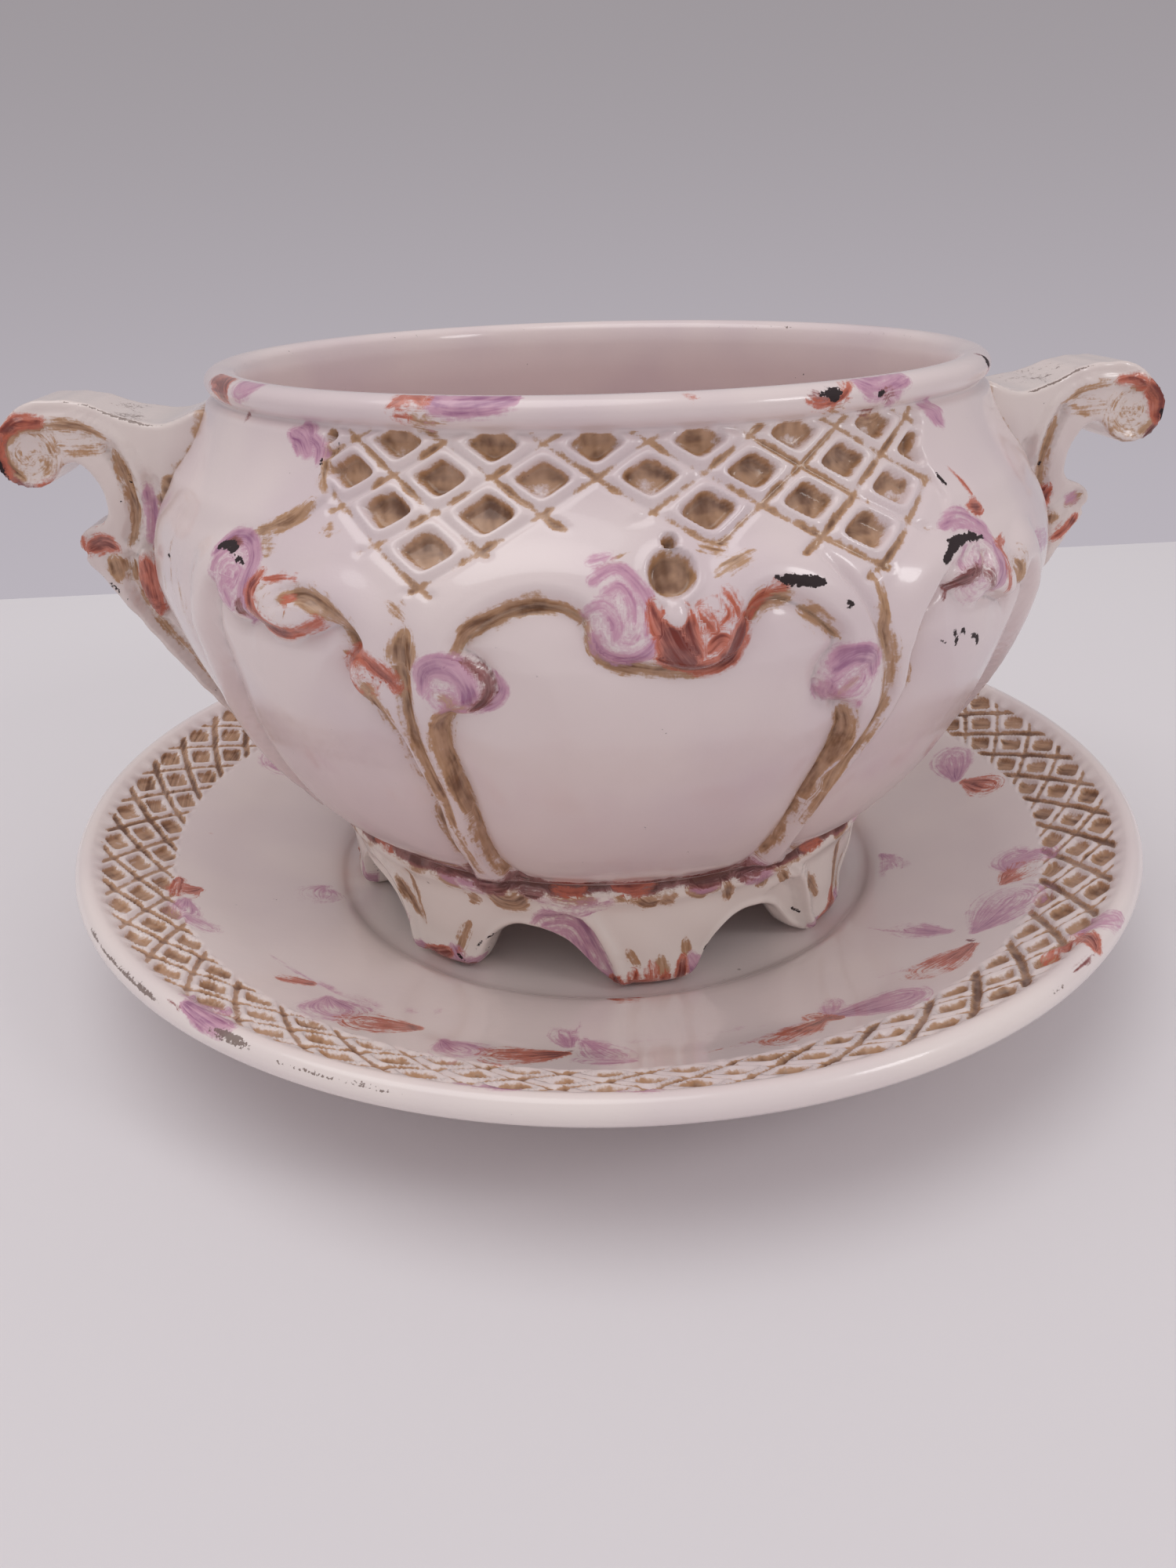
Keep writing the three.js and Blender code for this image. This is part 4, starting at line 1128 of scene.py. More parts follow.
# Pressed brush marks on the saucer: tip and tail in degrees and radius, spread in mm, strength
saucerFans = {
    "rust": [
        ((-46.8, 105.7), (-48.8, 109.6), 6, 0.9), ((-29, 105.8), (-33.8, 111), 15, 0.95),
        ((-10.6, 108), (-16.6, 113.6), 14, 0.95), ((19.6, 108.6), (12.6, 113.4), 12, 0.86),
        ((21, 110.6), (19.6, 106), 7, 0.86), ((43.6, 113), (36.6, 109.6), 13, 0.8),
        ((60.4, 112), (63, 116), 13, 0.76), ((-73.6, 115), (-72.8, 118.4), 11, 0.9),
        ((-75.4, 119), (-71, 121), 5, 0.8), ((-5, 78.4), (-1, 79.6), 5, 0.6),
        ((41.6, 141), (43.8, 136), 6, 1.05), ((42.6, 135), (39.4, 134), 5, 0.8),
        ((-97.1, 139.2), (-94.4, 139), 8, 1.05), ((-105.2, 106), (-101.4, 112.6), 8, 1.1),
        ((-98.6, 116), (-95, 113), 4, 0.9), ((92, 111), (88.4, 115), 11, 0.9),
        ((121, 107.4), (116, 111), 12, 0.9), ((152.6, 108), (147.4, 112), 13, 0.9),
        ((184, 107), (179, 112), 13, 0.9), ((216, 108.4), (211, 112), 12, 0.9),
        ((238, 108), (234, 112), 11, 0.86), ((131, 137), (128, 139), 5, 0.9),
        ((201, 137.4), (198, 139.4), 5, 0.9),
    ],
    "lilac": [
        ((-42, 107.4), (-38.6, 111), 19, 0.80), ((-24.4, 109.6), (-21.4, 113.4), 15, 0.85),
        ((-8.6, 100), (-5.4, 110), 13, 0.65), ((-10.6, 103), (-12, 97), 8, 0.72),
        ((-3.4, 113.6), (-8, 113.6), 7, 0.65),
        ((21, 108.6), (29, 114), 13, 1.02), ((22.4, 111), (27.4, 116), 10, 0.89),
        ((21.4, 107), (23.6, 102), 7, 0.72),
        ((47.8, 104), (47.6, 95), 10, 0.72), ((47.4, 111), (55.4, 115), 19, 0.77),
        ((63.4, 113), (66.6, 114), 13, 0.89), ((66, 113), (66, 121), 9, 0.77),
        ((-76.9, 82), (-74.4, 84), 14, 0.65),
        ((74, 81), (70.4, 84), 7, 0.77), ((-43.4, 139.4), (-38.6, 139.8), 7, 1.10),
        ((-45, 136.6), (-42, 135), 8, 0.89),
        ((-13, 137.2), (-17, 136.4), 5, 0.85), ((44.6, 134.6), (47, 140.6), 9, 0.89),
        ((-5, 136.6), (-2, 137), 5, 0.65),
        ((-97.5, 115), (-95.8, 112.6), 5, 1.10), ((-95.4, 108.6), (-93.6, 106.4), 5, 1.02),
        ((-70, 118.4), (-67, 120), 9, 0.65),
        ((-65.6, 120), (-63, 116), 7, 0.65), ((93.8, 110), (99, 114), 13, 0.96),
        ((122, 108), (128, 112), 14, 0.96), ((154, 108.6), (160, 113), 15, 0.96),
        ((185.4, 108), (191, 112.6), 14, 0.96),
        ((217.4, 108), (223, 112.4), 14, 0.96), ((239.4, 107.6), (244.6, 112), 13, 0.96),
        ((132, 136.8), (135.6, 139), 8, 0.89), ((202, 137), (205.6, 139), 8, 0.89),
    ],
}
# Hair lines that the brush left, and worn lines: points, width, strength
saucerLines = {
    "lilac": [
        ([(-56, 106.4), (-49, 104.6), (-40, 102.6), (-33, 98.4), (-28.6, 94)], 1.0, 0.5),
        ([(-47, 103), (-38, 101), (-31, 97.4)], 0.9, 0.45),
        ([(-20, 113), (-14.6, 110.4), (-10, 108)], 1.0, 0.5),
        ([(-12, 100), (-10.4, 96), (-9.6, 92)], 1.4, 0.5),
        ([(8, 112), (14, 107.6), (19.6, 106)], 1.1, 0.5),
        ([(-9.6, 104), (-1, 101), (8, 100.6), (15, 103)], 1.0, 0.4),
        ([(48, 104), (46.4, 92), (46, 84)], 1.0, 0.5),
        ([(40, 110), (36, 104), (33, 101)], 0.9, 0.4), ([(62, 82), (67, 80.6), (74, 80)], 1.6, 0.5),
    ],
    "rust": [([(19, 106.4), (10, 109.4), (4, 113)], 1.0, 0.5), ([(-96, 113), (-90, 113.4)], 1.0, 0.7)],
    "plum": [([(44.6, 112.6), (45.2, 110.8)], 1.6, 0.9), ([(40.6, 141.6), (37, 141.4)], 1.0, 1.0),
             ([(-43.4, 141.4), (-45.4, 140.6)], 1.2, 0.8), ([(-10.6, 107), (-9.6, 105.6)], 1.4, 0.7)],
}
# Worn lip: ends in degrees, radius, how bare
lipWear = [(-63, -46, 142.4, 0.8), (-39.4, -34.6, 141.2, 0.85), (-33, -20, 142.2, 0.55),
           (31, 36.4, 142.4, 0.6),
           (-112, -96, 141.6, 0.36), (46, 50, 142.4, 0.46)]


# Lift and painted fields of the saucer's upper face: the bowl's weave in small cells,
# with u and v counting cells along the slants of the band.
def saucerRelief(chart):
    shake = wobble(chart.across, chart.up, 31, 0.02)
    s = (chart.across - saucer["bandTurn"]) * saucer["cells"] / 360
    t = (chart.up - saucer["bandMiddle"]) / (2 * saucer["rowPitch"])
    u, v = s + t + shake, s - t - shake
    du, dv = np.abs(u - np.round(u)), np.abs(v - np.round(v))
    m = (du ** 6 + dv ** 6) ** (1 / 6)
    inner, outer = saucer["band"]
    edge = wobble(chart.across, 0 * chart.up, 32, 0.7)
    field = smooth(chart.up - inner - edge, -0.5, 1.0) * smooth(outer - chart.up, -0.4, 0.8)
    pit = 1 - smooth(m, saucer["recess"] - 0.05, saucer["recess"] + 0.05)
    thick = smooth(du, saucer["groove"] - 0.06, saucer["groove"] + 0.01)
    thin = smooth(dv, saucer["groove"] - 0.03, saucer["groove"] + 0.03)
    weave = (0.3 * bell(m - saucer["bead"], 0.06) - saucer["depth"] * pit
             - 0.8 * np.maximum(thick, 0.6 * thin))
    lift = field * weave + 0.5 * bell(chart.up - outer - 1.0, 1.2)

    worn = 0.94 + wobble(chart.across * 3, 0 * chart.up, 33, 0.22)
    recess = 0.85 * np.clip(0.5 + (saucer["recess"] + 0.02 - m) * 11, 0, 1)
    thickLines = 1.25 * np.clip(0.5 + (du - saucer["groove"] + 0.02) * 12, 0, 1)
    thinLines = np.clip(0.5 + (dv - saucer["groove"] - 0.012) * 14, 0, 0.95)
    paint = Paint(chart)
    for layer, fans in saucerFans.items():
        for tip, tail, spread, strength in fans:
            paint.fan(layer, tip, tail, spread, strength)
    paint.strokes(saucerLines, 0.6)
    paint.lay("ochre", np.maximum(recess, np.maximum(thickLines, thinLines) * worn) * field)
    return lift, paint.fields


# How close the saucer's rows lie: closest over the trellis, then the brush marks and the well's edge.
def saucerDensity(r):
    return (0.16 + 0.36 * smooth(r, 100, 104) + 0.44 * smooth(r, 116, 120)
            + 0.8 * bell(r - 76.5, 2.5))


# Radius and height over the well's floor of each row: out along the upper face, over the
# half round lip, and back under to the standing ring and the middle. With them the count of
# rows up to the lip.
def saucerProfile():
    top = spline(saucer["top"], steps=24)
    length = np.concatenate([[0], np.cumsum(np.hypot(*np.diff(top, axis=0).T))])
    fine = spacing(0, length[-1], saucer["rows"],
                   lambda s: np.interp(s, length, saucerDensity(top[:, 0])))
    upper = np.column_stack([np.interp(fine, length, top[:, 0]), np.interp(fine, length, top[:, 1])])
    turn = np.radians(np.linspace(*saucer["lipTurn"], saucer["lipRows"]))
    middle, height = saucer["lipMiddle"]
    lip = np.column_stack([middle + (saucer["radius"] - middle) * np.cos(turn),
                           height + saucer["lipHalf"] * np.sin(turn)])
    bottom = -saucer["wall"]
    tread = bottom - saucer["ringHeight"]
    outer = saucer["ringOuter"]
    inner = outer - saucer["ringWidth"]
    ring = [(outer + 1, bottom), (outer, tread), (outer - 1, tread), (inner + 1, tread),
            (inner, tread + 0.6), (inner - 0.6, bottom), (60, bottom), (30, bottom)]
    middleRows = [(6, 0), (30, 0), (50, 0)]
    profile = np.vstack([middleRows, upper, lip, saucer["under"], ring])
    return profile[:, 0], profile[:, 1], len(middleRows) + len(upper)


# The relief stands out along the profile's normal, (-dz, dr) by its length.
def makeSaucer(material):
    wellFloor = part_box("saucer")[0].z / millimetre + saucer["ringHeight"] + saucer["wall"]
    count = saucer["columns"]
    azimuths = np.linspace(-90, 270, count, endpoint=False)
    radii, heights, toLip = saucerProfile()
    r = np.repeat(radii[:, None], count, 1)
    z = np.repeat(heights[:, None], count, 1)
    across = np.broadcast_to(azimuths, r.shape)
    lift, fields = saucerRelief(Chart(across, r, np.radians(1) * r))
    row = np.arange(len(radii))[:, None]
    painted = row < toLip + saucer["lipRows"] / 2
    lift = lift * (row < toLip)
    slopeR, slopeZ = np.gradient(radii)[:, None], np.gradient(heights)[:, None]
    length = np.hypot(slopeR, slopeZ)
    r = r - lift * slopeZ / length
    z = z + lift * slopeR / length
    z = z + wobble(across, 0 * z, 41, 0.25) * smooth(r, 90, 140) * (z > 0)
    r = r - 0.3 * (r > 141) + wobble(across, 0 * z, 42, 0.12)

    fields = masked(fields, painted)
    patchy = smooth(wobble(across, 0 * r, 43, 1.0), -0.3, 0.5)
    fields["worn"] = saucer["worn"] * bell(row - toLip - 5, 2.6) * patchy
    for start, end, reach, bare in lipWear:
        stretch = smooth(across, start - 2, start + 2) * (1 - smooth(across, end - 2, end + 2))
        fields["worn"] = fields["worn"] + bare * stretch * painted * bell(r - reach, 1.4)
    angle = np.radians(across)
    piece = gridPiece("saucerDish", r * np.sin(angle), -r * np.cos(angle), z + wellFloor, fields)
    piece.data.flip_normals()        # its profile runs the other way round than the bowl's
    seat(piece, "saucer", "saucer", material)


makeSaucer(glazeMaterial("saucerGlaze", "milk", 0.35))
print("saucer is made")


# Foot ring

foot = {
    "height": 32.0,
    "topRadius": 75.5,
    "bottomRadius": 68.5,
    "waist": 1.2,
    "wall": 7.0,
    "toe": 2.4,
    "count": 8,
    "turn": 4.0,              # degrees from the bowl's front to a foot's middle
    "meanRadius": 73.0,       # for the millimetres of a degree
    "columns": 720,
    # lower edge from arch to arch, in degrees from a foot's middle and height: it rises
    # steeply to the right of the foot and falls in a long slope to the next one
    "edge": [(-22.5, 15.4), (-20, 14.2), (-17.6, 12.4), (-15.6, 9.8), (-13.6, 6.8), (-11.6, 4),
             (-9.4, 1.7),
             (-7, 0.3), (-4, 0), (5, 0), (7, 0.6), (8.4, 2.4), (9.6, 5.2), (10.8, 8.2), (12.4, 11.2),
             (15, 14),
             (18.4, 15.7), (22.5, 15.4)],
    # scroll over each arch that runs down into the foot on its right
    "hood": [(-23.4, 19.4), (-21, 22), (-17.4, 23.6), (-14.2, 22.2), (-12, 18.6), (-10.2, 13.4),
             (-8.8, 8.6), (-7.8, 4.6), (-7, 2)],
}

footPaint = {
    "ochre": [
        ([(-32.4, 23.4), (-31, 22.6)], 4.6, 0.9), ([(-38, 27.4), (-34, 26.2)], 4.4, 0.9),
        ([(-26.6, 27), (-25.4, 24.6), (-22.6, 24.4), (-20.6, 26.6)], 6.6),
        ([(-15, 27.6), (-11, 27), (-7.6, 27.6)], 3.4, 0.8),
        ([(-4, 28.2), (-2.6, 26.8)], 3.6, 0.7), ([(0.6, 27.6), (2, 25.6), (3.4, 26)], 4.6),
        ([(5, 27.4), (6.4, 25.2)], 4.8), ([(9.6, 28.4), (11.6, 26.4), (12.8, 26.4)], 4.4, 0.8),
        ([(16, 28.4), (17.4, 24.6), (18, 22.4)], 3.0, 0.9),
        ([(-47, 26), (-46.4, 18), (-45.6, 10)], 2.4, 0.8),
        ([(-33.8, 14.6), (-35.4, 10), (-36.8, 5)], 3.4, 0.8), ([(29, 26), (31, 22)], 3.6),
        ([(24, 27.6), (25.4, 24)], 3.6),
        ([(50, 24), (51.6, 14), (50.6, 6)], 3.0), ([(38, 20), (40.6, 16), (43.6, 11)], 3.0),
        ([(9.4, 12), (9.8, 7)], 3.6, 0.7), ([(-1.4, 11), (0.4, 6.6)], 3.4, 0.66),
        ([(4.8, 9), (5.2, 3.6)], 4.2, 0.9),
    ],
    "lilac": [
        ([(-19.6, 18.4), (-17.4, 21.6), (-13.8, 22.2), (-10.8, 19.6), (-8.6, 14), (-6.6, 8.4),
          (-4.6, 3.4)], 3.0, 1.0),
        ([(-17, 17.6), (-12.6, 17), (-9.8, 11), (-8, 6)], 7.4, 0.66),
        ([(11, 6.6), (12.6, 3.4), (13, 5)], 6, 0.8),
        ([(-9, 4), (-5, 1.6), (-2, 1.2)], 5, 0.9),
        ([(-48, 3), (-42, 1.4), (-36, 1.6), (-32, 4)], 3.8, 0.86),
        ([(20, 29.4), (23, 27.6), (26, 27)], 5, 0.8), ([(-38, 29), (-31, 27.8), (-26, 28.6)], 5, 0.6),
        ([(-18, 27), (-12, 24.8), (-5, 26.6)], 6.0, 0.44), ([(54, 3), (52, 6)], 4, 0.8),
        ([(-52, 4), (-50, 10)], 4, 0.5),
        ([(10, 28), (15, 28.4)], 3.6, 0.5),
    ],
    "plum": [
        ([(-46, 1.0), (-38, 0.6), (-33.6, 2.2)], 2.4, 0.9),
        ([(-7, 0.8), (-2, 0.4), (5, 0.4), (10.6, 1.2)], 2.4, 0.86),
        ([(-29, 28.4), (-26, 28.8), (-24, 29.6)], 5.4, 0.9), ([(-20.6, 29), (-17, 28.6)], 4.4, 0.85),
        ([(19, 29), (24, 29.2)], 4.4, 0.8),
    ],
    "rust": [
        ([(-4.4, 1.6), (0, 1.6), (4, 1.6)], 3.4, 1.0), ([(2.6, 1), (2.8, 5), (2.6, 7.4)], 4.0, 0.8),
        ([(-1.2, 1), (-0.4, 5.4)], 3.8, 0.8), ([(8.4, 1), (9.2, 7.4)], 3.2, 1.2),
        ([(5.6, 1), (5.6, 4.4)], 4.0, 0.74),
        ([(-4.6, 2), (-3.6, 4)], 2.8, 1.3), ([(45, 2), (48, 2.4), (51, 4)], 4.8, 1.1),
        ([(49.6, 4), (50.6, 9)], 2.8, 0.9),
        ([(34, 30.4), (37, 29.6), (40, 29.4)], 2.8, 0.84), ([(-36.6, 6), (-35.6, 4.4)], 1.8, 0.6),
        ([(-4, 30.6), (-1, 30.2), (2.6, 30.8)], 3.6, 0.95), ([(-1.6, 29.4), (1.6, 29)], 2.8, 0.8),
        ([(-15, 30), (-12, 29.2), (-9.6, 29.8)], 3.0, 0.84),
    ],
    "chip": [
        ([(-33.4, 6.4), (-31, 9.8), (-28.4, 12.6)], 0.5, 0.7),
        ([(-27, 13.6), (-22.4, 15.4), (-18.4, 15)], 0.9, 0.8),
        ([(-14.8, 13.2), (-12.6, 10.8), (-11.4, 8.6)], 1.1, 0.95), ([(13.6, 6.4), (14.6, 9.4)], 0.7, 0.8),
        ([(19, 15.2), (24, 16.6), (28, 15.6)], 0.9, 0.8), ([(37, 9.6), (39.6, 7)], 0.6, 0.75),
        ([(-37, 4.4), (-35.4, 3)], 0.6, 0.75), ([(-44, 15), (-46, 12.4)], 0.6, 0.7),
    ],
}


# Outer radius: a straight taper less a sine waist, with the toe kicked out by (1 - share)^3.
def footRadius(height, toeShare):
    share = height / foot["height"]
    return (foot["bottomRadius"] + (foot["topRadius"] - foot["bottomRadius"]) * share
            - foot["waist"] * np.sin(np.pi * share) + foot["toe"] * toeShare * (1 - share) ** 3)


# Lift of the ring's outside: scrolls over the arches, a ridge along the lower edge, a collar
# under the bowl, and toes, each a bell of its distance (the scrolls' in whole millimetres);
# the lower edge turns in as a quarter round.
def footRelief(chart, arch, overArch, toeShare):
    pitch = 360 / foot["count"]
    height = chart.up
    above = height - arch
    folded = np.mod(chart.across - foot["turn"] + 38, pitch) - 38
    hood, share = Chart(folded, height, chart.perDegree).near(foot["hood"], 7)
    hoodLine = np.interp(folded, *zip(*foot["hood"]), left=0, right=0)
    under = smooth(hoodLine - height, 0.3, 2.4) * smooth(folded, -23.4, -17)
    ridge = 1.5 * bell(np.floor(hood), 1.6) * smooth(share, 0, 0.3)
    ridge = ridge - 1.2 * under * smooth(above, 0.5, 2.5)
    lipRidge = 0.7 * bell(above - 1.6, 1.3) * overArch
    collar = 0.9 * bell(height - 27.0, 2.0) - 1.5 * smooth(height, 28.6, 31.6)
    toe = 1.0 * bell(height - 3.4, 3.2) * toeShare
    turnIn = -3.0 * (1 - np.sqrt(np.clip(1 - np.clip(1 - above / 3.0, 0, 1) ** 2, 0, 1)))
    bulge = 1.0 * toeShare * np.sin(np.pi * np.clip(height / 22, 0, 1))
    uneven = wobble(chart.across * 3, height * 4, 62, 0.4)
    return ridge + lipRidge + collar + toe + bulge + turnIn + uneven


# Painted fields of the ring's outside. The sides and back repeat the front's touches, one
# foot or arch on at a time.
def footTouches(chart, rim):
    paint = Paint(chart)
    paint.strokes(footPaint, 0.9)
    for shift in (90, 135, 180, 225, 270):
        turned = Chart(np.mod(chart.across - shift + 180, 360) - 180, chart.up, chart.perDegree)
        paint.strokes({layer: marks[shift % 2::2] for layer, marks in footPaint.items()}, 0.9, turned)
    uneven = wobble(chart.across * 5, 0 * chart.up, 63, 1.6)
    paint.lay("ochre", 0.6 * np.clip(0.5 + (chart.up - 27.4 + 2.6 * uneven) * 0.4, 0, 1))
    paint.lay("plum", 1.15 * np.clip(0.5 + (chart.up - 28.9 + 0.7 * uneven) * 0.5, 0, 1))
    paint.lay("worn", 0.5 * rim + 0.3 * bell(chart.up - 30.0, 1.6))
    return paint.fields


# The ring's section is worked out at every azimuth: down its outside from the bowl to the
# arched edge, under that, and up its inside.
def makeFoot(material):
    azimuths = np.linspace(-180, 180, foot["columns"], endpoint=False)
    pitch = 360 / foot["count"]
    fromFoot = np.mod(azimuths - foot["turn"] + pitch / 2, pitch) - pitch / 2
    arch = np.clip(np.interp(fromFoot, *spline(foot["edge"]).T), 0, None)
    overArch = smooth(arch, 0, 9)
    arch = arch + wobble(azimuths, 0, 61, 0.5) * overArch
    toeShare = np.cos(np.pi / 2 * np.clip(np.abs(fromFoot) / 16, 0, 1))

    outerT = np.concatenate([np.linspace(0, 0.3, 14), np.linspace(0.34, 1, 18)])[:, None]
    innerT = np.linspace(0, 1, 8)[:, None]
    edge = np.array([0.25, 0.5, 0.75])[:, None]
    top = foot["height"] - 0.1
    height = arch + outerT * (top - arch)
    chart = Chart(np.broadcast_to(azimuths, height.shape), height,
                  np.full(height.shape, np.radians(1) * foot["meanRadius"]))
    outerR = footRadius(height, toeShare) + footRelief(chart, arch, overArch, toeShare)
    edgeR = footRadius(arch, toeShare) - 2.4 - edge * (foot["wall"] - 3.4)
    edgeZ = arch - 0.4 * np.sin(np.pi * edge) * overArch
    innerH = arch + innerT * (top - arch)
    innerR = footRadius(innerH, toeShare) - foot["wall"] + 0.8 * bell(innerT, 0.1)
    r = np.vstack([outerR[::-1], edgeR, innerR])
    z = np.vstack([height[::-1], edgeZ, innerH])

    rim = bell(height - arch, 1.1) * overArch
    outside = footTouches(chart, rim)
    plain = np.zeros((len(edge) + len(innerT), len(azimuths)))
    fields = {key: np.vstack([value[::-1], plain]) for key, value in outside.items()}
    onEdge = slice(len(outerT), len(outerT) + len(edge))
    fields["worn"][onEdge] = 0.5 * overArch
    broken = 0.64 * rim * smooth(wobble(azimuths * 9, 0, 64, 1.0), -0.1, 0.4)
    fields["chip"][:len(outerT)] = np.maximum(fields["chip"][:len(outerT)], broken[::-1])
    angle = np.radians(np.broadcast_to(azimuths, r.shape))
    piece = ringPiece("footRing", r * np.sin(angle), -r * np.cos(angle), z + feetHeight, fields)
    seat(piece, "pot", "foot_ring", material)


# The foot's glaze leans most of the way to milk: a paler copy of the glaze, as painted light that lifts
# the shade the bowl casts on the ring.
makeFoot(glazeMaterial("footGlazePaintedLight", "milk", 0.9))
print("foot ring is made")


# Handles, measured out and up from the bowl's belly in the plane through the pot's axis

bellyPlace = (bowl["bellyRadius"], bowlBase + bowl["bellyHeight"])

handle = {
    "curl": (26.8, 25.4),
    "curlRadius": 7.8,
    "top": [(-15, 35), (-10, 33), (-4, 32), (4, 33.6), (11, 36.2), (18, 37.4), (26.3, 36.4)],
    "curlTurns": [35, 0, -40, -80, -120, -155],
    "front": [(17, 23.2), (13.8, 21), (11.8, 16.4), (11.4, 11.6), (13.2, 8.6), (16.6, 7.2), (19.6, 5.4),
              (20.8, 2.4), (19.2, 0.4), (19.8, -1.6), (15.4, -7.8), (10, -16), (4.6, -24.5), (-3, -36),
              (-10, -46), (-16, -53), (-22, -58.6), (-28, -62.6)],
    "halfWidth": 10.5,
    "fan": 8.0,               # wider at the bowl, and narrower at the waist, spur and tail
    "waist": 2.5,
    "spur": 1.6,
    "tail": 3.0,
    "edge": 2.2,              # rounding of the arrises
    "root": 3.0,              # how far the handle is let into the wall
    "voxel": 0.62,
    # Beads and grooves of the side faces: height, width, how far it reaches, and points
    "mouldings": [
        (0.8, 1.2, 4, [(27, 32.2), (20, 33), (13.6, 32.4), (8.6, 30.5), (5.4, 28.6), (3.1, 25.4),
                       (1.9, 21), (1.6, 16), (2.2, 10), (3.4, 4.4)]),
        (-1.7, 1.3, 4, [(7.4, 25.8), (6.1, 23.2), (4.6, 18), (4.5, 13), (5.2, 9), (7.2, 4.5)]),
        (-1.3, 1.6, 5, [(-1.4, 18.6), (0, 13.4), (1.4, 8), (3, 3)]),
        (-1.3, 2.2, 5, [(16.8, 3.4), (13.4, 1.6), (12, -2.6)]),
        (-2.0, 1.3, 5, [(8.8, -1), (9.2, -7), (7.4, -13), (3, -20), (-4, -31), (-11, -42)]),
        (-2.0, 1.3, 5, [(0.6, -1), (0.4, -8), (-1.6, -15), (-6, -23), (-12, -33), (-19, -44)]),
    ],
    "bossCentre": (4.2, -7.0),
    "bossReach": (3.2, 8.6),
    "bossTilt": -6,
    "bossRise": 2.6,
}

# Paint on the sides of each handle, out and up; the front face is the one the photo shows
handlePaint = {
    "right": {
        "ochre": [([(6.4, 24), (5, 18), (4.7, 13), (5.6, 8), (7, 4.6)], 3.0),
                  ([(11, -1), (11.2, -2.6)], 3.6),
                  ([(10, 27), (19, 27)], 7.0, 0.42), ([(7, 29), (14, 31.6), (22, 32.2)], 2.6, 0.8),
                  ([(25, 31.4), (29.9, 30.8), (32.4, 27.5), (32.4, 23.3), (29.6, 20)], 2.2, 1.2),
                  ([(9, -7), (7.4, -13), (3, -20), (-4, -31), (-11, -42)], 1.2, 0.8),
                  ([(-1.6, -15), (-6, -23), (-12, -33), (-19, -44)], 1.4, 0.8),
                  ([(18, 4), (15, 2)], 3.0)],
        "lilac": [([(3, 5.6), (4.6, -1), (6.2, -7)], 4.4, 0.9), ([(14.6, 4), (17, 2.4)], 4.0, 0.66)],
        "rust": [([(7.6, 6.4), (7, 3.4), (8.4, 1.4)], 4.4, 1.1),
                 ([(21, 33), (25, 33.2), (29, 31)], 3.2, 1.0),
                 ([(29.4, 31.4), (32.6, 28), (33, 23)], 4.4, 1.2),
                 ([(12, -7.2), (15.6, -4.6), (17.6, -1.6)], 2.8, 1.1),
                 ([(7, -2), (7.4, -6)], 3.0, 0.9)],
        "plum": [([(33.4, 28), (33.6, 23), (30.4, 18.6)], 2.6, 1.15)],
        "chip": [([(33.9, 26), (33.4, 21), (30.6, 18.2)], 0.9), ([(4.6, 14.6), (4.8, 12.6)], 1.0),
                 ([(3.6, 0), (3.2, -3.6), (4, -6.6)], 0.8)],
    },
    "left": {
        "ochre": [([(6.6, 25), (5.2, 19), (4.6, 14), (5.4, 9), (7.6, 2.6)], 3.4),
                  ([(13, -1), (12.4, -5)], 5.4),
                  ([(10, 27), (19, 27)], 7.0, 0.44), ([(7, 29), (14, 31.6), (22, 32.2)], 2.6, 0.9),
                  ([(22, 32), (27, 31.6), (31.4, 28.4), (31.8, 23.6), (28.6, 19.8)], 2.6, 1.25),
                  ([(9, -7), (7.4, -13), (3, -20), (-4, -31), (-11, -42)], 1.2, 0.9),
                  ([(-1.6, -15), (-6, -23), (-12, -33), (-19, -44)], 1.6, 0.9),
                  ([(-8, -12), (-12, -20), (-15.6, -27)], 2.0, 0.9),
                  ([(8.6, -2), (9, -6)], 2.4), ([(2, 3), (0, -1.6)], 3.0),
                  ([(-3.4, -8), (-5.6, -15), (-8.4, -21)], 3.0)],
        "lilac": [([(0.2, 17), (1, 11), (3, 3)], 4.0, 0.76), ([(14, 12), (16.4, 8.4)], 3.6, 0.6)],
        "rust": [([(22, 33), (26.6, 33.2), (31, 30.4)], 3.6, 1.0),
                 ([(32.6, 29.6), (34, 24.6), (31.6, 18.8)], 3.6, 1.1),
                 ([(26, 18.4), (22, 19), (19, 21)], 2.0, 1.0), ([(20, 7), (20.6, 3), (19, 0)], 2.4, 0.9),
                 ([(18.6, 1.6), (14.6, 3), (12.2, 2)], 5.0, 1.15), ([(14, 10.6), (15.4, 8.4)], 2.2, 0.8),
                 ([(4.6, -1), (4.4, -7), (4, -13.6)], 6.2, 0.95), ([(5.6, -11), (3, -13)], 3.4, 1.1)],
        "plum": [([(31.6, 30), (33.8, 25), (31, 18.8), (26, 17.6)], 3.0, 1.2),
                 ([(4.4, -4), (4.2, -11)], 2.4, 0.7)],
        "chip": [([(33, 28), (33.9, 24), (31, 18.8)], 0.8, 0.8), ([(7.4, 15), (7.7, 13)], 0.9, 0.8),
                 ([(18.6, -2.4), (14.6, -7.6), (11.8, -11)], 0.6, 0.7),
                 ([(-2.6, 1.4), (-3.4, -1)], 1.0), ([(4.6, 20), (4, 16)], 0.8)],
    },
}


# The outline, out and up from the belly: along the top, round the rolled end, down the front
# to the tail, and back up inside the bowl's wall.
def handleEdge():
    turns = np.radians(handle["curlTurns"])
    circle = np.column_stack([np.cos(turns), np.sin(turns)])
    roll = np.array(handle["curl"]) + handle["curlRadius"] * circle
    edge = spline(np.vstack([handle["top"], roll, handle["front"]]), steps=7)
    up = np.linspace(edge[-1, 1] - 1, edge[0, 1], 50)
    root = bowlRadius(up + bellyPlace[1]) - handle["root"] - bellyPlace[0]
    return np.vstack([edge, np.column_stack([root, up])])


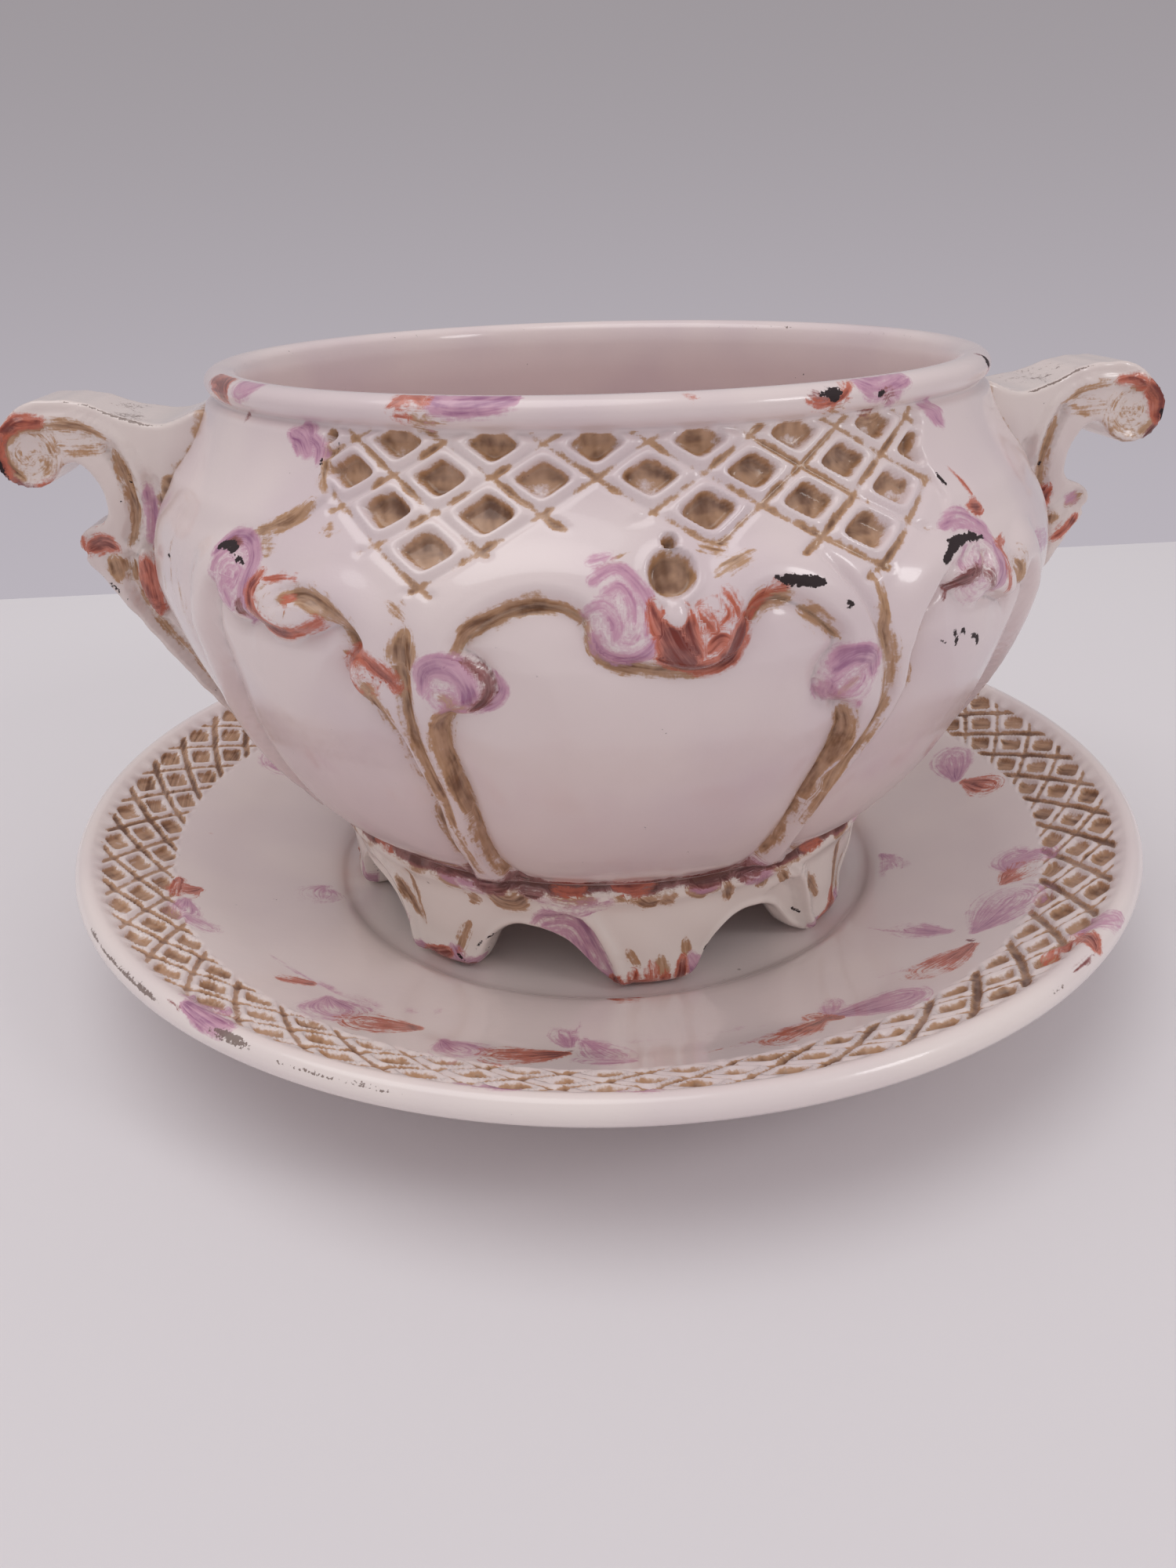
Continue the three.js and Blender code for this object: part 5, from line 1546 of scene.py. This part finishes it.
# The outline as a plate with rounded arrises and an even skin of quads; out, y and up in millimetres.
def plateSkin():
    edge = handleEdge()
    count = len(edge)
    half = handle["halfWidth"]
    points = np.vstack([np.insert(edge, 1, -half, axis=1), np.insert(edge, 1, half, axis=1)])
    side = [(i, (i + 1) % count, count + (i + 1) % count, count + i) for i in range(count)]
    near, far = tuple(range(count))[::-1], tuple(range(count, 2 * count))
    mesh = bpy.data.meshes.new("handlePlate")
    mesh.from_pydata(points.tolist(), [], [near, far] + side)
    mesh.update()
    plate = bpy.data.objects.new("handlePlate", mesh)
    scene.collection.objects.link(plate)
    bevel = plate.modifiers.new("arris", "BEVEL")
    bevel.width = handle["edge"]
    bevel.segments = 3
    bevel.limit_method = "ANGLE"
    bevel.angle_limit = math.radians(60)
    skin = plate.modifiers.new("skin", "REMESH")
    skin.mode = "VOXEL"
    skin.voxel_size = handle["voxel"]
    ease = plate.modifiers.new("ease", "SMOOTH")
    ease.factor = 0.5
    ease.iterations = 5
    bpy.context.view_layer.update()
    made = bpy.data.meshes.new_from_object(plate.evaluated_get(bpy.context.evaluated_depsgraph_get()))
    bpy.data.objects.remove(plate)
    bpy.data.meshes.remove(mesh)
    return made


# Lift of the side faces: beads and grooves, height * exp(-(distance / width)^2) with the
# distance in whole millimetres; the rolled end's rim; and an almond on the tail,
# rise * sqrt(1 - (x / half width)^2).
def handleRelief(chart):
    lift = sum(height * bell(np.floor(chart.near(points, reach)[0]), width)
               for height, width, reach, points in handle["mouldings"])
    dx, dy, away = chart.polar(handle["curl"])
    roundCurl = np.mod(np.degrees(np.arctan2(dy, dx)) + 150, 360)
    rolled = smooth(roundCurl, 0, 30) * (1 - smooth(roundCurl, 230, 275))
    lift = lift + 0.9 * rolled * bell(away - 7.0, 1.1) - 0.8 * (1 - smooth(away, 3.4, 6.2))

    turn = math.radians(handle["bossTilt"])
    out, rise = chart.across - handle["bossCentre"][0], chart.up - handle["bossCentre"][1]
    x = out * math.cos(turn) + rise * math.sin(turn)
    y = np.abs(rise * math.cos(turn) - out * math.sin(turn)) / handle["bossReach"][1]
    half = handle["bossReach"][0] * np.sqrt(np.clip(1 - y ** 1.6, 1e-3, 1))
    almond = np.clip(1 - (np.abs(x) / half) ** 2, 0, 1) * (y < 1)
    return np.where(almond > 0, np.maximum(lift, handle["bossRise"] * np.sqrt(almond)), lift)


# The plate is widened into a fan at the bowl and narrowed to the rest, then its relief stands
# out along its normals. side is right or left; the left one is turned by half a turn.
def makeHandle(side, material):
    mesh = plateSkin()
    count = len(mesh.vertices)
    place = np.empty(count * 3, np.float32)
    mesh.vertices.foreach_get("co", place)
    normal = np.empty(count * 3, np.float32)
    mesh.vertices.foreach_get("normal", normal)
    out, y, up = place.reshape(-1, 3).astype(float).T
    normal = normal.reshape(-1, 3).astype(float)

    fan = handle["fan"] * smooth(-out, -14, 14) * smooth(up, 0, 30)
    waist = handle["waist"] * smooth(-up, -24, 4)
    spur = handle["spur"] * smooth(out, 12, 19) * (1 - smooth(up, 6, 14))
    tail = handle["tail"] * smooth(-up, 30, 60)
    y = y * (handle["halfWidth"] + fan - waist - spur - tail) / handle["halfWidth"]
    chart = Chart(out, up, np.ones(count))
    face = smooth(np.abs(normal[:, 1]), 0.55, 0.9)
    lift = handleRelief(chart) * face + wobble(out * 12, up * 6, 81, 0.25)
    buried = np.hypot(out + bellyPlace[0], y) < bowlRadius(up + bellyPlace[1]) - 1.0
    lift = lift * ~buried
    out = out + lift * normal[:, 0]
    y = y + lift * normal[:, 1]
    up = up + lift * normal[:, 2]

    paint = Paint(chart)
    paint.strokes(handlePaint[side], 1.1)
    paint.coil("ochre", handle["curl"], 8.4, 0.4)
    fields = masked(paint.fields, smooth(np.abs(normal[:, 1]), 0.1, 0.45))
    gap = np.hypot(out + bellyPlace[0], y) - bowlRadius(up + bellyPlace[1])
    patchy = 0.86 + wobble(y * 14, up * 9, 82, 0.5)
    joint = np.clip(0.5 + (3.4 - gap) * 0.3, 0, 1) * smooth(up, -2, 6) * patchy
    fields["ochre"] = np.maximum(fields["ochre"], joint)
    # worn on top, along the arrises, and most in the fold before the bowl
    onTop = smooth(normal[:, 2], 0.25, 0.7) * smooth(out, -14, -2)
    arris = bell(np.abs(normal[:, 1]) - 0.7, 0.22)
    inFold = bell(out - 4, 8) * smooth(up, 20, 26)
    fields["worn"] = 0.3 * onTop + 0.32 * arris * smooth(up, 8, 20) + 0.34 * inFold * (onTop + arris)

    turned = -1 if side == "left" else 1
    points = np.column_stack([turned * (out + bellyPlace[0]), turned * y,
                              up + bellyPlace[1] + feetHeight])
    mesh.vertices.foreach_set("co", (points * millimetre).astype(np.float32).ravel())
    mesh.update()
    mesh.name = "handle" + side.capitalize()
    seat(addPiece(mesh, fields), "pot", "handle_" + side, material)


handleMaterial = glazeMaterial("handleGlaze", "cream", 0.35)
makeHandle("right", handleMaterial)
makeHandle("left", handleMaterial)
print("handles are made")
